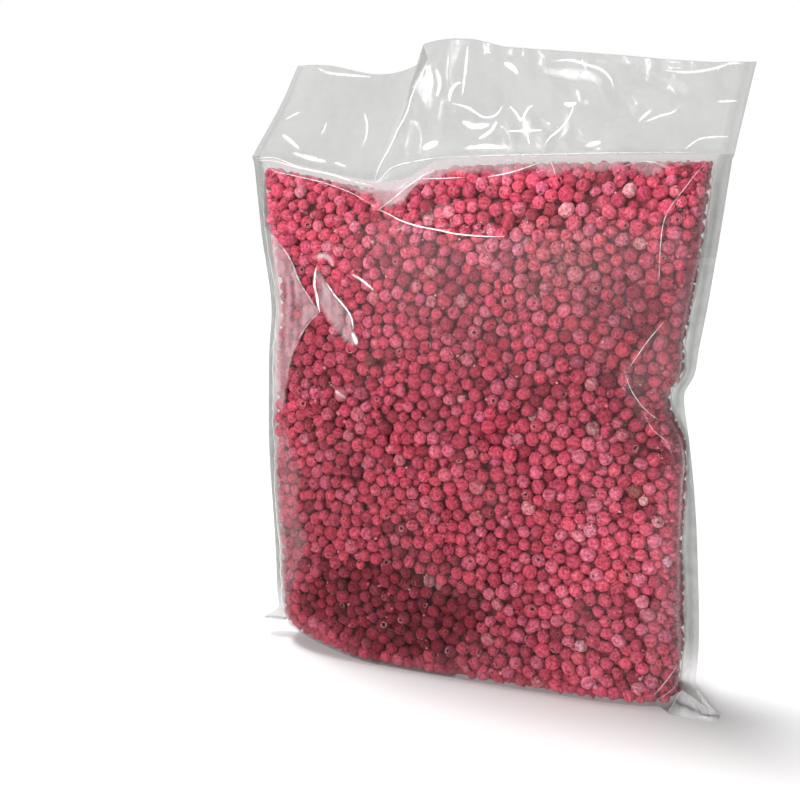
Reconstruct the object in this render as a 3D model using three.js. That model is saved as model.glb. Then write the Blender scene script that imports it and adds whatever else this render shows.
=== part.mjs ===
// A clear sealed pouch packed with freeze-dried redcurrants, standing upright.
//
// Millimetres, +Z up. +X runs along the pouch's width and the front faces -Y. The origin lies in the
// middle of the flat bottom, under the side seams. The pouch is one closed solid: the filled body,
// the flat side seams, the free flap above the heat seal and the folded ears of the bottom corners.

import * as THREE from 'three';
import { ParametricGeometry } from 'three/addons/geometries/ParametricGeometry.js';
import { mergeVertices } from 'three/addons/utils/BufferGeometryUtils.js';

// ---- Driving dimensions -----------------------------------------------------------------------

const SEAL_HEIGHT = 300; // the heat seal above the fill
const SHOULDER_HEIGHT = 250; // where the front and back start to lean in to the seal
const FRONT_DEPTH = 31; // from the side seams to the front face
const BACK_DEPTH = 29; // from the side seams to the back face
const FILM_THICKNESS = 1.4; // both films together, as a solid sheet
const BOTTOM_RADIUS = 9; // rounding of the long bottom edges
const BOTTOM_SHARE = 0.88; // the flat bottom's depth, as a share of the body's
const LEFT_ROUNDING = 2.7; // power of the cross section: 2 is a lens, more is a box with round corners
const RIGHT_ROUNDING = 4.5;
const SHOULDER_ROUNDING = { bulge: 2.6, fall: 0.5 }; // powers of the lean in to the seal
const BERRIES = { pitch: 8.5, relief: 0.8, start: 2, full: 14, backShift: 500 }; // lumps under the film
const SEAM_WAVE = { height: 1.6, length: 21, start: 0.9 }; // the side seams' gentle wave
const FLAP_BELLY = { height: 2.5, length: 26 }; // the flap's waves along its width
const FLAT_BOTTOM = { low: 2, high: 20 }; // waves and lumps fade out between these heights
const DIP_START = 200; // the height from which the rows follow the top of the fill

// Outer edges of the side seams, as [height, x].
const LEFT_EDGE = [[0, -126], [22, -129], [100, -131], [180, -132], [215, -129], [255, -134], [307, -141.5]];
const RIGHT_EDGE = [[0, 136], [35, 137], [86, 134], [117, 130.8], [145, 126.8], [172, 123], [183, 127.8],
  [198, 129.8], [224, 133.7], [300, 142.5]];

// Widths of the flat seams. The right one, as [height, width], is nipped in at half height, and the
// fill bulges over it below that.
const LEFT_SEAM = 6.5;
const RIGHT_SEAM = [[88, 8.5], [118, 5], [145, 2.5], [166, 7.5], [180, 6.5], [206, 8.5]];

// The heat seal and the top of the fill, as [x, height]. The seal is pulled down beside the crease.
const SEAL_LINE = [[-135, 303], [-100, 295], [-60, 287], [-40, 288], [-20, 298], [5, 300], [140, 299]];
const FILL_TOP = [[-135, 300], [-100, 292], [-60, 284], [-40, 285], [-20, 294], [5, 297], [140, 297]];

// The free edge of the flap: its height, and how far each part leans back (+Y) from the seal.
const FLAP_SPAN = { left: -137, right: 152 };
const FLAP_TOP = [[-137, 363], [-107, 360], [-75, 353], [-56, 354], [-28, 364], [0, 364], [20, 359],
  [76, 352], [125, 345], [152, 343]];
const LEAN_LEFT = [[-137, 57], [-117, 46], [-92, 40], [-58, 38]];
const LEAN_RIGHT = [[-28, 4], [0, 0], [76, -2], [125, -8], [152, -14]];
const CREASE = { atSeal: -57, atTop: -36, width: 16 };

// The bottom folds leave a flat ear at each corner. From `root` outwards its front and back edges
// run from the body's to those of its blunt tip. The less filled left corner is lifted a little.
const EAR_RISE = 9;
const EAR_LENGTH = 30;
const RIGHT_EAR = { reach: 16, root: 118, front: -28, back: -16, rootBack: 18 };
const LEFT_EAR = { reach: 9, root: 114, front: -9, back: -3, rootBack: 7 };
const EAR_BLEND = 0.3; // share of the ear's length over which the body turns into it
const LEFT_LIFT = { start: -48, height: 11, reach: 80, fade: 60 };

// Shallow hollows where the film bridges slack spots of the fill, in the front face.
const HOLLOWS = [
  { x: -94, height: 222, reach: 20, depth: 7 },
  { x: 114, height: 168, reach: 13, depth: 7 },
  { x: -98, height: 135, reach: 18, depth: 3 },
  { x: -45, height: 275, reach: 10, depth: 5 },
];

const BODY_COLUMNS = 46;
const BODY_ROWS = 30;
const CLOSING_HEIGHT = 270; // from here up the rows are finer
const CLOSING_ROWS = 9;
const FILL_ROW = 292; // the row that follows the top of the fill, where front and back close up
const SEAL_ROWS = 2;
const FLAP_ROWS = 7;
const BOTTOM_ROWS = [0, 2.5, 5.5, 9]; // finer rows round the bottom edges
const COLUMN_CROWDING = 0.45; // how much closer the columns lie at both ends
const MERGE_DISTANCE = 1e-3;

// ---- Small helpers ----------------------------------------------------------------------------

const { clamp, lerp, smoothstep } = THREE.MathUtils;

// A smooth curve through a few [place, value] points, level before the first and after the last.
function through(points, at) {
  const last = points.length - 1;
  const place = clamp(at, points[0][0], points[last][0]);
  const next = points.findIndex(([start], k) => k > 0 && place <= start);
  const slope = (k) => {
    const a = points[Math.max(k - 1, 0)];
    const b = points[Math.min(k + 1, last)];
    return (b[1] - a[1]) / (b[0] - a[0]);
  };
  const [x0, y0] = points[next - 1];
  const [x1, y1] = points[next];
  const span = x1 - x0;
  const t = (place - x0) / span;
  const s = 1 - t;
  return y0 * s * s * (1 + 2 * t) + slope(next - 1) * span * t * s * s
    + y1 * t * t * (3 - 2 * t) - slope(next) * span * t * t * s;
}

const bell = (distance, reach) => Math.exp(-0.5 * (distance / reach) ** 2);

// Even lumps of one berry's size: random heights on a square lattice, joined smoothly.
function lump(i, j) {
  const wave = Math.sin(i * 127.1 + j * 311.7) * 43758.5453;
  return 2 * (wave - Math.floor(wave)) - 1;
}

function berryLumps(x, z) {
  const a = x / BERRIES.pitch;
  const b = z / BERRIES.pitch;
  const i = Math.floor(a);
  const j = Math.floor(b);
  const s = smoothstep(a - i, 0, 1);
  const t = smoothstep(b - j, 0, 1);
  return lerp(lerp(lump(i, j), lump(i + 1, j), s), lerp(lump(i, j + 1), lump(i + 1, j + 1), s), t);
}

// ---- The pouch's form -------------------------------------------------------------------------

const leftEdge = (z) => through(LEFT_EDGE, z);
const rightEdge = (z) => through(RIGHT_EDGE, z);

// How far the film stands off the seams' plane, by height alone: rounded at the bottom, upright in
// the middle and leaning in over the shoulder.
function fullness(x, z) {
  const up = clamp(z / BOTTOM_RADIUS, 0, 1);
  const bottom = lerp(BOTTOM_SHARE, 1, Math.sqrt(1 - (1 - up) ** 2));
  const over = clamp((z - SHOULDER_HEIGHT) / (through(FILL_TOP, x) - SHOULDER_HEIGHT), 0, 1);
  return bottom * (1 - over ** SHOULDER_ROUNDING.bulge) ** SHOULDER_ROUNDING.fall;
}

// Across the width the left half tapers like a lens and the right half is boxy.
function crossSection(across) {
  const power = lerp(LEFT_ROUNDING, RIGHT_ROUNDING, smoothstep(across, -0.3, 0.3));
  return (1 - Math.min(Math.abs(across), 1) ** power) ** (1 / power);
}

// How far a row is pulled down at x, so that rows follow the top of the fill and then the seal.
function rowDip(x, height) {
  const fill = through(FILL_TOP, x) - FILL_ROW;
  const seal = through(SEAL_LINE, x) - SEAL_HEIGHT;
  if (height > FILL_ROW) {
    return lerp(fill, seal, (height - FILL_ROW) / (SEAL_HEIGHT - FILL_ROW));
  }
  return fill * smoothstep(height, DIP_START, FILL_ROW);
}

// The point of the body at one column and height, on the front (side -1) or on the back (side 1).
function bodyPoint(column, height, side, target) {
  const across = column.across;
  const left = leftEdge(height) + LEFT_SEAM;
  const right = rightEdge(height) - through(RIGHT_SEAM, height);
  const inner = lerp(left, right, (across + 1) / 2);
  const outer = across > 0 ? rightEdge(height) : leftEdge(height);
  let x = lerp(inner, outer, Math.abs(column.seam));
  const ear = across > 0 ? RIGHT_EAR : LEFT_EAR;
  const lowness = clamp(1 - height / EAR_RISE, 0, 1);
  x += column.seam * ear.reach * lowness ** 2;

  const dip = rowDip(x, height);
  const liftFade = clamp(1 - height / LEFT_LIFT.fade, 0, 1);
  const lift = LEFT_LIFT.height * smoothstep(LEFT_LIFT.start - x, 0, LEFT_LIFT.reach) * liftFade;
  const z = height + dip + lift;

  const depth = side < 0 ? FRONT_DEPTH : BACK_DEPTH;
  let stand = depth * fullness(x, height + dip) * crossSection(across);
  if (side < 0) {
    for (const hollow of HOLLOWS) {
      const near = bell(Math.hypot(x - hollow.x, z - hollow.height), hollow.reach);
      stand -= hollow.depth * near * clamp(stand / depth, 0, 1);
    }
  }
  const raised = smoothstep(height, FLAT_BOTTOM.low, FLAT_BOTTOM.high);
  const lumps = BERRIES.relief * berryLumps(x + BERRIES.backShift * side, z);
  stand += lumps * smoothstep(stand, BERRIES.start, BERRIES.full) * raised;
  stand = Math.max(stand, FILM_THICKNESS / 2);

  const nearSeam = smoothstep(Math.abs(across), SEAM_WAVE.start, 1);
  const wave = SEAM_WAVE.height * Math.sin(z / SEAM_WAVE.length + Math.sign(across)) * nearSeam;
  let y = wave * raised + side * stand;
  const outward = (Math.abs(x) - ear.root) / EAR_LENGTH;
  if (outward > 0) {
    const earBack = lerp(ear.rootBack, ear.back, Math.min(outward, 1));
    const share = smoothstep(lowness, 0, 1) * smoothstep(outward, 0, EAR_BLEND);
    y = lerp(y, side < 0 ? ear.front : earBack, share);
  }
  return target.set(x, y, z);
}

// The point of the flap at one column, `up` of the way from the seal to the free edge.
function flapPoint(column, up, side, target) {
  bodyPoint(column, SEAL_HEIGHT, side, target);
  const seal = target.clone();
  const left = leftEdge(SEAL_HEIGHT);
  const share = (seal.x - left) / (rightEdge(SEAL_HEIGHT) - left);
  const topX = lerp(FLAP_SPAN.left, FLAP_SPAN.right, share);
  const x = lerp(seal.x, topX, up);
  const crease = lerp(CREASE.atSeal, CREASE.atTop, up);
  const forward = smoothstep(x - crease, -CREASE.width / 2, CREASE.width / 2);
  const lean = lerp(through(LEAN_LEFT, topX), through(LEAN_RIGHT, topX), forward);
  const belly = FLAP_BELLY.height * Math.sin(Math.PI * up) * Math.sin(topX / FLAP_BELLY.length);
  return target.set(x, seal.y + lean * up + belly, lerp(seal.z, through(FLAP_TOP, topX), up));
}

// ---- The grid that covers it ------------------------------------------------------------------

// Columns run over the front from the left seam's edge to the right one's, closer at both ends.
const columns = [{ across: -1, seam: -1 }];
for (let k = 0; k <= BODY_COLUMNS; k += 1) {
  const even = 2 * k / BODY_COLUMNS - 1;
  const rounded = Math.sin(even * Math.PI / 2);
  columns.push({ across: lerp(even, rounded, COLUMN_CROWDING), seam: 0 });
}
columns.push({ across: 1, seam: 1 });

// Rows run up the body and then up the flap. The first and the last close the bottom and the edge.
const rows = BOTTOM_ROWS.map((height) => ({ height, up: 0 }));
const firstRow = BOTTOM_ROWS[BOTTOM_ROWS.length - 1];
for (let k = 1; k <= BODY_ROWS; k += 1) {
  rows.push({ height: lerp(firstRow, CLOSING_HEIGHT, k / BODY_ROWS), up: 0 });
}
for (let k = 1; k <= CLOSING_ROWS; k += 1) {
  rows.push({ height: lerp(CLOSING_HEIGHT, FILL_ROW, k / CLOSING_ROWS), up: 0 });
}
for (let k = 1; k <= SEAL_ROWS; k += 1) {
  rows.push({ height: lerp(FILL_ROW, SEAL_HEIGHT, k / SEAL_ROWS), up: 0 });
}
for (let k = 1; k <= FLAP_ROWS; k += 1) {
  rows.push({ height: SEAL_HEIGHT, up: k / FLAP_ROWS });
}

function surfacePoint(column, row, side, target) {
  if (row.up > 0) {
    return flapPoint(column, row.up, side, target);
  }
  return bodyPoint(column, row.height, side, target);
}

// Once round the pouch for u from 0 to 1, and from its bottom to the flap's edge for v from 0 to 1.
const around = 2 * columns.length;
const upward = rows.length + 1;

function pouchSurface(u, v, target) {
  const step = Math.round(u * around) % around;
  const onBack = step >= columns.length;
  const column = onBack ? columns[around - 1 - step] : columns[step];
  const level = Math.round(v * upward);
  const row = rows[clamp(level - 1, 0, rows.length - 1)];
  surfacePoint(column, row, onBack ? 1 : -1, target);
  if (level === 0 || level === upward) {
    const opposite = surfacePoint(column, row, onBack ? -1 : 1, new THREE.Vector3());
    target.lerp(opposite, 0.5);
  }
}

// The closed surface, without the slivers that the closing rows leave at the seams.
function closedSurface(surface) {
  surface.deleteAttribute('normal');
  surface.deleteAttribute('uv');
  const merged = mergeVertices(surface, MERGE_DISTANCE);
  const corners = merged.getIndex().array;
  const kept = [];
  for (let k = 0; k < corners.length; k += 3) {
    const [a, b, c] = corners.slice(k, k + 3);
    if (a !== b && b !== c && c !== a) {
      kept.push(a, b, c);
    }
  }
  merged.setIndex(kept);
  merged.computeVertexNormals();
  return merged;
}

function makePouch() {
  const surface = new ParametricGeometry(pouchSurface, around, upward);
  const packed = new THREE.MeshStandardMaterial({ color: 0xa04d5c, roughness: 0.35, metalness: 0 });
  const pouch = new THREE.Mesh(closedSurface(surface), packed);
  pouch.name = 'pouch';
  return pouch;
}

const bag = new THREE.Group();
bag.add(makePouch());

export default bag;
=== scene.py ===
import math

import bpy
import numpy as np
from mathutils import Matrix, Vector
from mathutils.bvhtree import BVHTree
from mathutils.kdtree import KDTree


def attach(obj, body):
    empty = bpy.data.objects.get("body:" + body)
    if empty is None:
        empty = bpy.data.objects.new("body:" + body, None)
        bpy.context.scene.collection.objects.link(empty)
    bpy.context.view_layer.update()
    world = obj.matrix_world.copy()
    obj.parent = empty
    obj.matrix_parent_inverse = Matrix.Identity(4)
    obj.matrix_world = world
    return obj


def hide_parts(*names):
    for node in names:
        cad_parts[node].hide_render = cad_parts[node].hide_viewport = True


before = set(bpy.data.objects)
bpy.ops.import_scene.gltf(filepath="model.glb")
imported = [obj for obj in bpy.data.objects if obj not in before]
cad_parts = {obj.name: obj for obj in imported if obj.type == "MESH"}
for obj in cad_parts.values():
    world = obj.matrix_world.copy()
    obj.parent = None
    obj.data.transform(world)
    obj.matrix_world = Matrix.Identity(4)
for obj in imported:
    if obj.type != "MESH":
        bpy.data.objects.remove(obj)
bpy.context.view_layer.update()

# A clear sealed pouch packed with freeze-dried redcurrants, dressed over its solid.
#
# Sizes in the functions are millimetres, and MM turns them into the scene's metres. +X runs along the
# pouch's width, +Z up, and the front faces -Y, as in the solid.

MM = 0.001
BODY = "root"
SOLID = "pouch"

bl_info = {
    "name": "Pouch of freeze-dried redcurrants",
    "version": (1, 0, 0),
    "blender": (4, 5, 0),
    "location": "View3D > Sidebar > Pouch",
    "description": "Builds a clear film pouch and the freeze-dried berries that fill it",
    "category": "Object",
}


# ---- The pouch's form, as its solid has it ----------------------------------------------------

SEAL_HEIGHT = 300.0
SHOULDER_HEIGHT = 250.0
FRONT_DEPTH = 31.0
BACK_DEPTH = 29.0
LEFT_SEAM = 6.5
FILM_THICKNESS = 1.4
BOTTOM_RADIUS = 9.0
BOTTOM_SHARE = 0.88
LEFT_ROUNDING, RIGHT_ROUNDING = 2.7, 4.5
SHOULDER_BULGE, SHOULDER_FALL = 2.6, 0.5
DIP_START, FILL_ROW = 200.0, 292.0
FLAT_BOTTOM = (2.0, 20.0)
SEAM_WAVE, SEAM_WAVE_LENGTH, SEAM_WAVE_START = 1.6, 21.0, 0.9
FLAP_BELLY, FLAP_BELLY_LENGTH = 2.5, 26.0

# Outer edges of the side seams, as (height, x), and the right seam's width, as (height, width).
LEFT_EDGE = ((0, -126), (22, -129), (100, -131), (180, -132), (215, -129), (255, -134), (307, -141.5))
RIGHT_EDGE = ((0, 136), (35, 137), (86, 134), (117, 130.8), (145, 126.8), (172, 123), (183, 127.8),
              (198, 129.8), (224, 133.7), (300, 142.5))
RIGHT_SEAM = ((88, 8.5), (118, 5), (145, 2.5), (166, 7.5), (180, 6.5), (206, 8.5))

# The heat seal and the top of the fill, as (x, height).
SEAL_LINE = ((-135, 303), (-100, 295), (-60, 287), (-40, 288), (-20, 298), (5, 300), (140, 299))
FILL_TOP = ((-135, 300), (-100, 292), (-60, 284), (-40, 285), (-20, 294), (5, 297), (140, 297))

# The flap's free edge: its height, and how far each part leans back from the seal.
FLAP_LEFT, FLAP_RIGHT = -137.0, 152.0
FLAP_TOP = ((-137, 363), (-107, 360), (-75, 353), (-56, 354), (-28, 364), (0, 364), (20, 359),
            (76, 352), (125, 345), (152, 343))
LEAN_LEFT = ((-137, 57), (-117, 46), (-92, 40), (-58, 38))
LEAN_RIGHT = ((-28, 4), (0, 0), (76, -2), (125, -8), (152, -14))
CREASE_AT_SEAL, CREASE_AT_TOP, CREASE_WIDTH = -57.0, -36.0, 13.0

# Corner ears: reach beyond the seam, root, front edge, back edge at the tip and at the root.
EAR_RISE, EAR_LENGTH, EAR_BLEND = 9.0, 30.0, 0.3
RIGHT_EAR = (16.0, 118.0, -28.0, -16.0, 18.0)
LEFT_EAR = (9.0, 114.0, -9.0, -3.0, 7.0)
# The left corner is lifted a little: from which x, how far, over what reach and up to what height.
LIFT_START, LIFT_HEIGHT, LIFT_REACH, LIFT_FADE = -48.0, 11.0, 80.0, 60.0

# Shallow hollows in the front face, as (x, height, reach, depth).
HOLLOWS = ((-94, 222, 20, 7), (114, 168, 13, 7), (-98, 135, 18, 3), (-45, 275, 10, 5))


# ---- Small helpers ----------------------------------------------------------------------------

def clamp(value, low, high):
    return np.minimum(np.maximum(value, low), high)


def lerp(a, b, t):
    return a + (b - a) * t


def smooth(value, low, high):
    t = clamp((value - low) / (high - low), 0.0, 1.0)
    return t * t * (3 - 2 * t)


def window(value, low, low_full, high_full, high):
    """0 outside low and high and 1 between the full places, with smooth steps."""
    return smooth(value, low, low_full) * smooth(high - value, 0, high - high_full)


def bell(distance, reach):
    return np.exp(-0.5 * (distance / reach) ** 2)


def through(points, at):
    """A smooth curve through a few (place, value) points, level beyond its ends."""
    x, y = (np.array(column, float) for column in zip(*points))
    at = np.asarray(at, float)
    low = np.concatenate(([0], np.arange(len(x) - 1)))
    high = np.concatenate((np.arange(1, len(x)), [len(x) - 1]))
    slope = (y[high] - y[low]) / (x[high] - x[low])
    place = clamp(at, x[0], x[-1])
    k = np.clip(np.searchsorted(x, place) - 1, 0, len(x) - 2)
    span = x[k + 1] - x[k]
    t = (place - x[k]) / span
    s = 1 - t
    start = y[k] * s * s * (1 + 2 * t) + slope[k] * span * t * s * s
    return start + y[k + 1] * t * t * (3 - 2 * t) - slope[k + 1] * span * t * t * s


class Noise:
    """Smooth seeded noise between -1 and 1 over a plane, one lump for each unit."""

    SIZE = 256

    def __init__(self, seed):
        self.table = np.random.default_rng(seed).uniform(-1, 1, (self.SIZE, self.SIZE))

    def __call__(self, a, b):
        i, j = np.floor(a).astype(int), np.floor(b).astype(int)
        s, t = a - i, b - j
        s = s * s * s * (s * (6 * s - 15) + 10)
        t = t * t * t * (t * (6 * t - 15) + 10)
        i0, j0 = i % self.SIZE, j % self.SIZE
        i1, j1 = (i + 1) % self.SIZE, (j + 1) % self.SIZE
        low = lerp(self.table[i0, j0], self.table[i1, j0], s)
        return lerp(low, lerp(self.table[i0, j1], self.table[i1, j1], s), t)


# How far the creases bend, over which length, and between which draws they fade in.
ZIGZAG_BEND, ZIGZAG_BEND_LENGTH = 0.45, 55.0
ZIGZAG_FADE = (-0.45, 0.35)


def crumple(x, z, seed, waves):
    """Flat facets between sharp creases: slightly bent zigzags in many directions, each a
    (length, slope) of `waves`, that fade in and out over the sheet."""
    rng = np.random.default_rng(seed)
    total = np.zeros(np.shape(x))
    for length, slope in waves:
        angle, start = rng.uniform(0, math.pi), rng.uniform(0, 1)
        bend, fade = Noise(rng.integers(1 << 20)), Noise(rng.integers(1 << 20))
        place = (x * math.cos(angle) + z * math.sin(angle)) / length + start
        place = place + ZIGZAG_BEND * bend(x / ZIGZAG_BEND_LENGTH, z / ZIGZAG_BEND_LENGTH)
        zigzag = np.abs(place - np.floor(place) - 0.5) - 0.25
        shown = smooth(fade(x / (2 * length), z / (2 * length)), *ZIGZAG_FADE)
        total = total + slope * length * zigzag * shown
    return total


def distance_to_path(path, a, b):
    """The distance of each point (a, b) from a polyline, and how far along it, from 0 to 1."""
    path = np.array(path, float)
    lengths = np.hypot(*np.diff(path, axis=0).T)
    starts = np.concatenate(([0], np.cumsum(lengths)))
    best = np.full(np.shape(a), 1e9)
    along = np.zeros(np.shape(a))
    for k, length in enumerate(lengths):
        (xa, za), (xb, zb) = path[k], path[k + 1]
        t = clamp(((a - xa) * (xb - xa) + (b - za) * (zb - za)) / length ** 2, 0, 1)
        distance = np.hypot(a - lerp(xa, xb, t), b - lerp(za, zb, t))
        nearer = distance < best
        best = np.where(nearer, distance, best)
        along = np.where(nearer, (starts[k] + t * length) / starts[-1], along)
    return best, along


# ---- The form, over whole arrays --------------------------------------------------------------

def left_edge(z):
    return through(LEFT_EDGE, z)


def right_edge(z):
    return through(RIGHT_EDGE, z)


def fill_sides(height):
    """Where the fill ends on the left and on the right, beside the flat seams."""
    return left_edge(height) + LEFT_SEAM, right_edge(height) - through(RIGHT_SEAM, height)


def fullness(x, z):
    """How far the film stands off the seams' plane, from the bottom's rounding to the seal."""
    up = clamp(z / BOTTOM_RADIUS, 0, 1)
    bottom = lerp(BOTTOM_SHARE, 1, np.sqrt(1 - (1 - up) ** 2))
    over = clamp((z - SHOULDER_HEIGHT) / (through(FILL_TOP, x) - SHOULDER_HEIGHT), 0, 1)
    return bottom * (1 - over ** SHOULDER_BULGE) ** SHOULDER_FALL


def cross_section(across):
    """A lens on the left and a box with round corners on the right."""
    power = lerp(LEFT_ROUNDING, RIGHT_ROUNDING, smooth(across, -0.3, 0.3))
    return (1 - clamp(np.abs(across), 0, 1) ** power) ** (1 / power)


def stand_off(x, z, across, side):
    """How far the front (side -1) or the back (side 1) stands off the seams' plane."""
    depth = FRONT_DEPTH if side < 0 else BACK_DEPTH
    stand = depth * fullness(x, z) * cross_section(across)
    if side < 0:
        for place, height, reach, deep in HOLLOWS:
            near = bell(np.hypot(x - place, z - height), reach)
            stand = stand - deep * near * clamp(stand / depth, 0, 1)
    return stand


def row_dip(x, height):
    """How far a row is pulled down at x, so that rows follow the top of the fill and then the seal."""
    fill = (through(FILL_TOP, x) - FILL_ROW) * smooth(height, DIP_START, FILL_ROW)
    seal = through(SEAL_LINE, x) - SEAL_HEIGHT
    return lerp(fill, seal, clamp((height - FILL_ROW) / (SEAL_HEIGHT - FILL_ROW), 0, 1))


def corner_lift(x, height):
    rise = smooth(LIFT_START - x, 0, LIFT_REACH)
    return LIFT_HEIGHT * rise * clamp(1 - height / LIFT_FADE, 0, 1)


def body_points(across, seam, height, side):
    """Points of the pouch's body; `seam` runs from 0 at the fill to 1 or -1 at a seam's outer edge."""
    left, right = fill_sides(height)
    outer = np.where(across > 0, right_edge(height), left_edge(height))
    x = lerp(lerp(left, right, (across + 1) / 2), outer, np.abs(seam))
    lowness = clamp(1 - height / EAR_RISE, 0, 1)
    on_right = across > 0
    reach, root, front, back, root_back = (
        np.where(on_right, a, b) for a, b in zip(RIGHT_EAR, LEFT_EAR))
    x = x + seam * reach * lowness ** 2

    dip = row_dip(x, height)
    z = height + dip + corner_lift(x, height)
    stand = np.maximum(stand_off(x, height + dip, across, side), FILM_THICKNESS / 2)
    wave = SEAM_WAVE * np.sin(z / SEAM_WAVE_LENGTH + np.sign(across))
    wave = wave * smooth(np.abs(across), SEAM_WAVE_START, 1)
    y = wave * smooth(height, *FLAT_BOTTOM) + side * stand

    outward = (np.abs(x) - root) / EAR_LENGTH
    ear_back = lerp(root_back, back, clamp(outward, 0, 1))
    ear_y = front if side < 0 else ear_back
    share = smooth(lowness, 0, 1) * smooth(outward, 0, EAR_BLEND)
    return np.stack((x, lerp(y, ear_y, share), z), -1)


def flap_points(across, seam, up, side):
    """Points of the flap, `up` of the way from the seal to its free edge."""
    seal = body_points(across, seam, np.full(np.shape(across), SEAL_HEIGHT), side)
    low, high = left_edge(SEAL_HEIGHT), right_edge(SEAL_HEIGHT)
    top_x = lerp(FLAP_LEFT, FLAP_RIGHT, (seal[..., 0] - low) / (high - low))
    x = lerp(seal[..., 0], top_x, up)
    crease = lerp(CREASE_AT_SEAL, CREASE_AT_TOP, up)
    forward = smooth(x - crease, -CREASE_WIDTH / 2, CREASE_WIDTH / 2)
    lean = lerp(through(LEAN_LEFT, top_x), through(LEAN_RIGHT, top_x), forward)
    belly = FLAP_BELLY * np.sin(np.pi * up) * np.sin(top_x / FLAP_BELLY_LENGTH)
    z = lerp(seal[..., 2], through(FLAP_TOP, top_x), up)
    return np.stack((x, seal[..., 1] + lean * up + belly, z), -1)


def film_depth(x, z, side):
    """The film's stand off the seams' plane at any place of the body, for what lies inside it."""
    height = z
    for _ in range(4):
        height = z - row_dip(x, height) - corner_lift(x, height)
    left, right = fill_sides(height)
    across = clamp(2 * (x - left) / (right - left) - 1, -1, 1)
    return stand_off(x, height + row_dip(x, height), across, side)


# ---- Slack and milky places of the front film -------------------------------------------------

# Left of this line the film stands off the fill, as (height, x).
SLACK_EDGE = ((148, -114), (157, -110), (167, -107), (179, -104), (189, -101), (198, -97), (206, -91),
              (212, -85), (219, -91), (229, -99), (245, -106), (256, -117), (264, -123))
# The lower edge of the milky band under the seal, with the fold that hangs from it, as (x, height).
BAND_EDGE = ((-134, 301), (-118, 293), (-104, 291), (-85, 287), (-63, 281), (-48, 275), (-38, 272),
             (-31, 276), (-24, 283), (-18, 286), (-6, 291), (5, 290), (17, 291), (30, 289), (41, 294),
             (47, 291), (55, 288), (63, 292), (77, 291), (90, 293), (103, 288), (110, 293), (128, 295))
# The crease under the shoulder: below it the film gets a milky veil that is a painted reflection of the
# light, above it it looks clear, as (x, height).
SHOULDER_CREASE = ((-130, 262), (-60, 262), (-35, 268), (-22, 262), (4, 257), (38, 258), (80, 262),
                   (130, 268))
# The leaf-shaped pleat between two folds, its sides as (height, x).
LEAF_LEFT = ((194, -59), (196, -65), (200, -69), (205, -74), (210, -80), (219, -85), (238, -87))
LEAF_RIGHT = ((194, -57), (203, -60), (211, -62), (217, -67), (223, -74), (229, -79), (238, -86))
# Milky film beside the seams: left and right of these lines, as (height, x).
LEFT_VEIL = ((0, -112), (30, -106), (60, -98), (80, -95), (100, -99), (120, -104), (140, -108))
RIGHT_VEIL = ((0, 112), (60, 113), (120, 112), (146, 113), (166, 101), (188, 94), (214, 112),
              (240, 122), (262, 126))
# A place where the film clings to the berries and looks clear, and where the berries get painted shade:
# its upper and lower edges.
CLING_TOP = ((-103, 26), (-93, 47), (-78, 61), (-57, 64), (-31, 63), (-6, 54), (13, 51), (20, 40))
CLING_BOTTOM = ((-103, 22), (-60, 8), (-31, 8), (-12, 15), (13, 26), (20, 38))
# Where each of these places begins, is full, starts to end and ends: two in height, one in x.
SLACK_HEIGHTS = (146, 158, 254, 264)
LEAF_HEIGHTS = (193, 196, 232, 238)
CLING_SPAN = (-104, -98, 16, 21)
# How far the fill stays behind the film: everywhere, and further in the slack place and the pleat.
FILM_GAP, SLACK_GAP, PLEAT_GAP = 0.3, 4.0, 2.0


def slack(x, z):
    """0 where the film lies on the berries and 1 where it stands well off them."""
    line = through(SLACK_EDGE, z) + 0.8 * Noise(17)(x / 5, z / 5)
    return smooth(line - x, -0.8, 1.4) * window(z, *SLACK_HEIGHTS)


def pleat(x, z):
    """The leaf-shaped pocket between the two left folds, 1 inside it."""
    inside = smooth(x - through(LEAF_LEFT, z), -0.6, 1.2) * smooth(through(LEAF_RIGHT, z) - x, -0.6, 1.2)
    return inside * window(z, *LEAF_HEIGHTS)


def cling(x, z):
    """1 in the clear patch at the lower left, where the film lies tight."""
    wave = Noise(19)
    x = x + 4 * wave(x / 9, z / 9)
    z = z + 4 * wave(x / 9 + 40, z / 9)
    inside = smooth(through(CLING_TOP, x) - z, -1, 3) * smooth(z - through(CLING_BOTTOM, x), -1, 4)
    return inside * window(x, *CLING_SPAN)


def fill_gap(x, z, side):
    """How far the fill stays behind the film."""
    if side > 0:
        return np.full(np.shape(x), FILM_GAP)
    return FILM_GAP + SLACK_GAP * slack(x, z) + PLEAT_GAP * pleat(x, z)


# ---- Meshes -----------------------------------------------------------------------------------

def new_object(name, vertices, faces, smooth_shading=True):
    """A mesh object from millimetre vertices and faces."""
    mesh = bpy.data.meshes.new(name)
    mesh.from_pydata((np.asarray(vertices) * MM).tolist(), [], [tuple(map(int, f)) for f in faces])
    mesh.update()
    if smooth_shading:
        mesh.shade_smooth()
    made = bpy.data.objects.new(name, mesh)
    bpy.context.scene.collection.objects.link(made)
    return made


def line_object(name, points, edges):
    """Loose points, or lines of them, that a geometry tree grows a piece on."""
    mesh = bpy.data.meshes.new(name)
    mesh.from_pydata((np.array(points) * MM).tolist(), edges, [])
    made = bpy.data.objects.new(name, mesh)
    bpy.context.scene.collection.objects.link(made)
    return made


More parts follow.
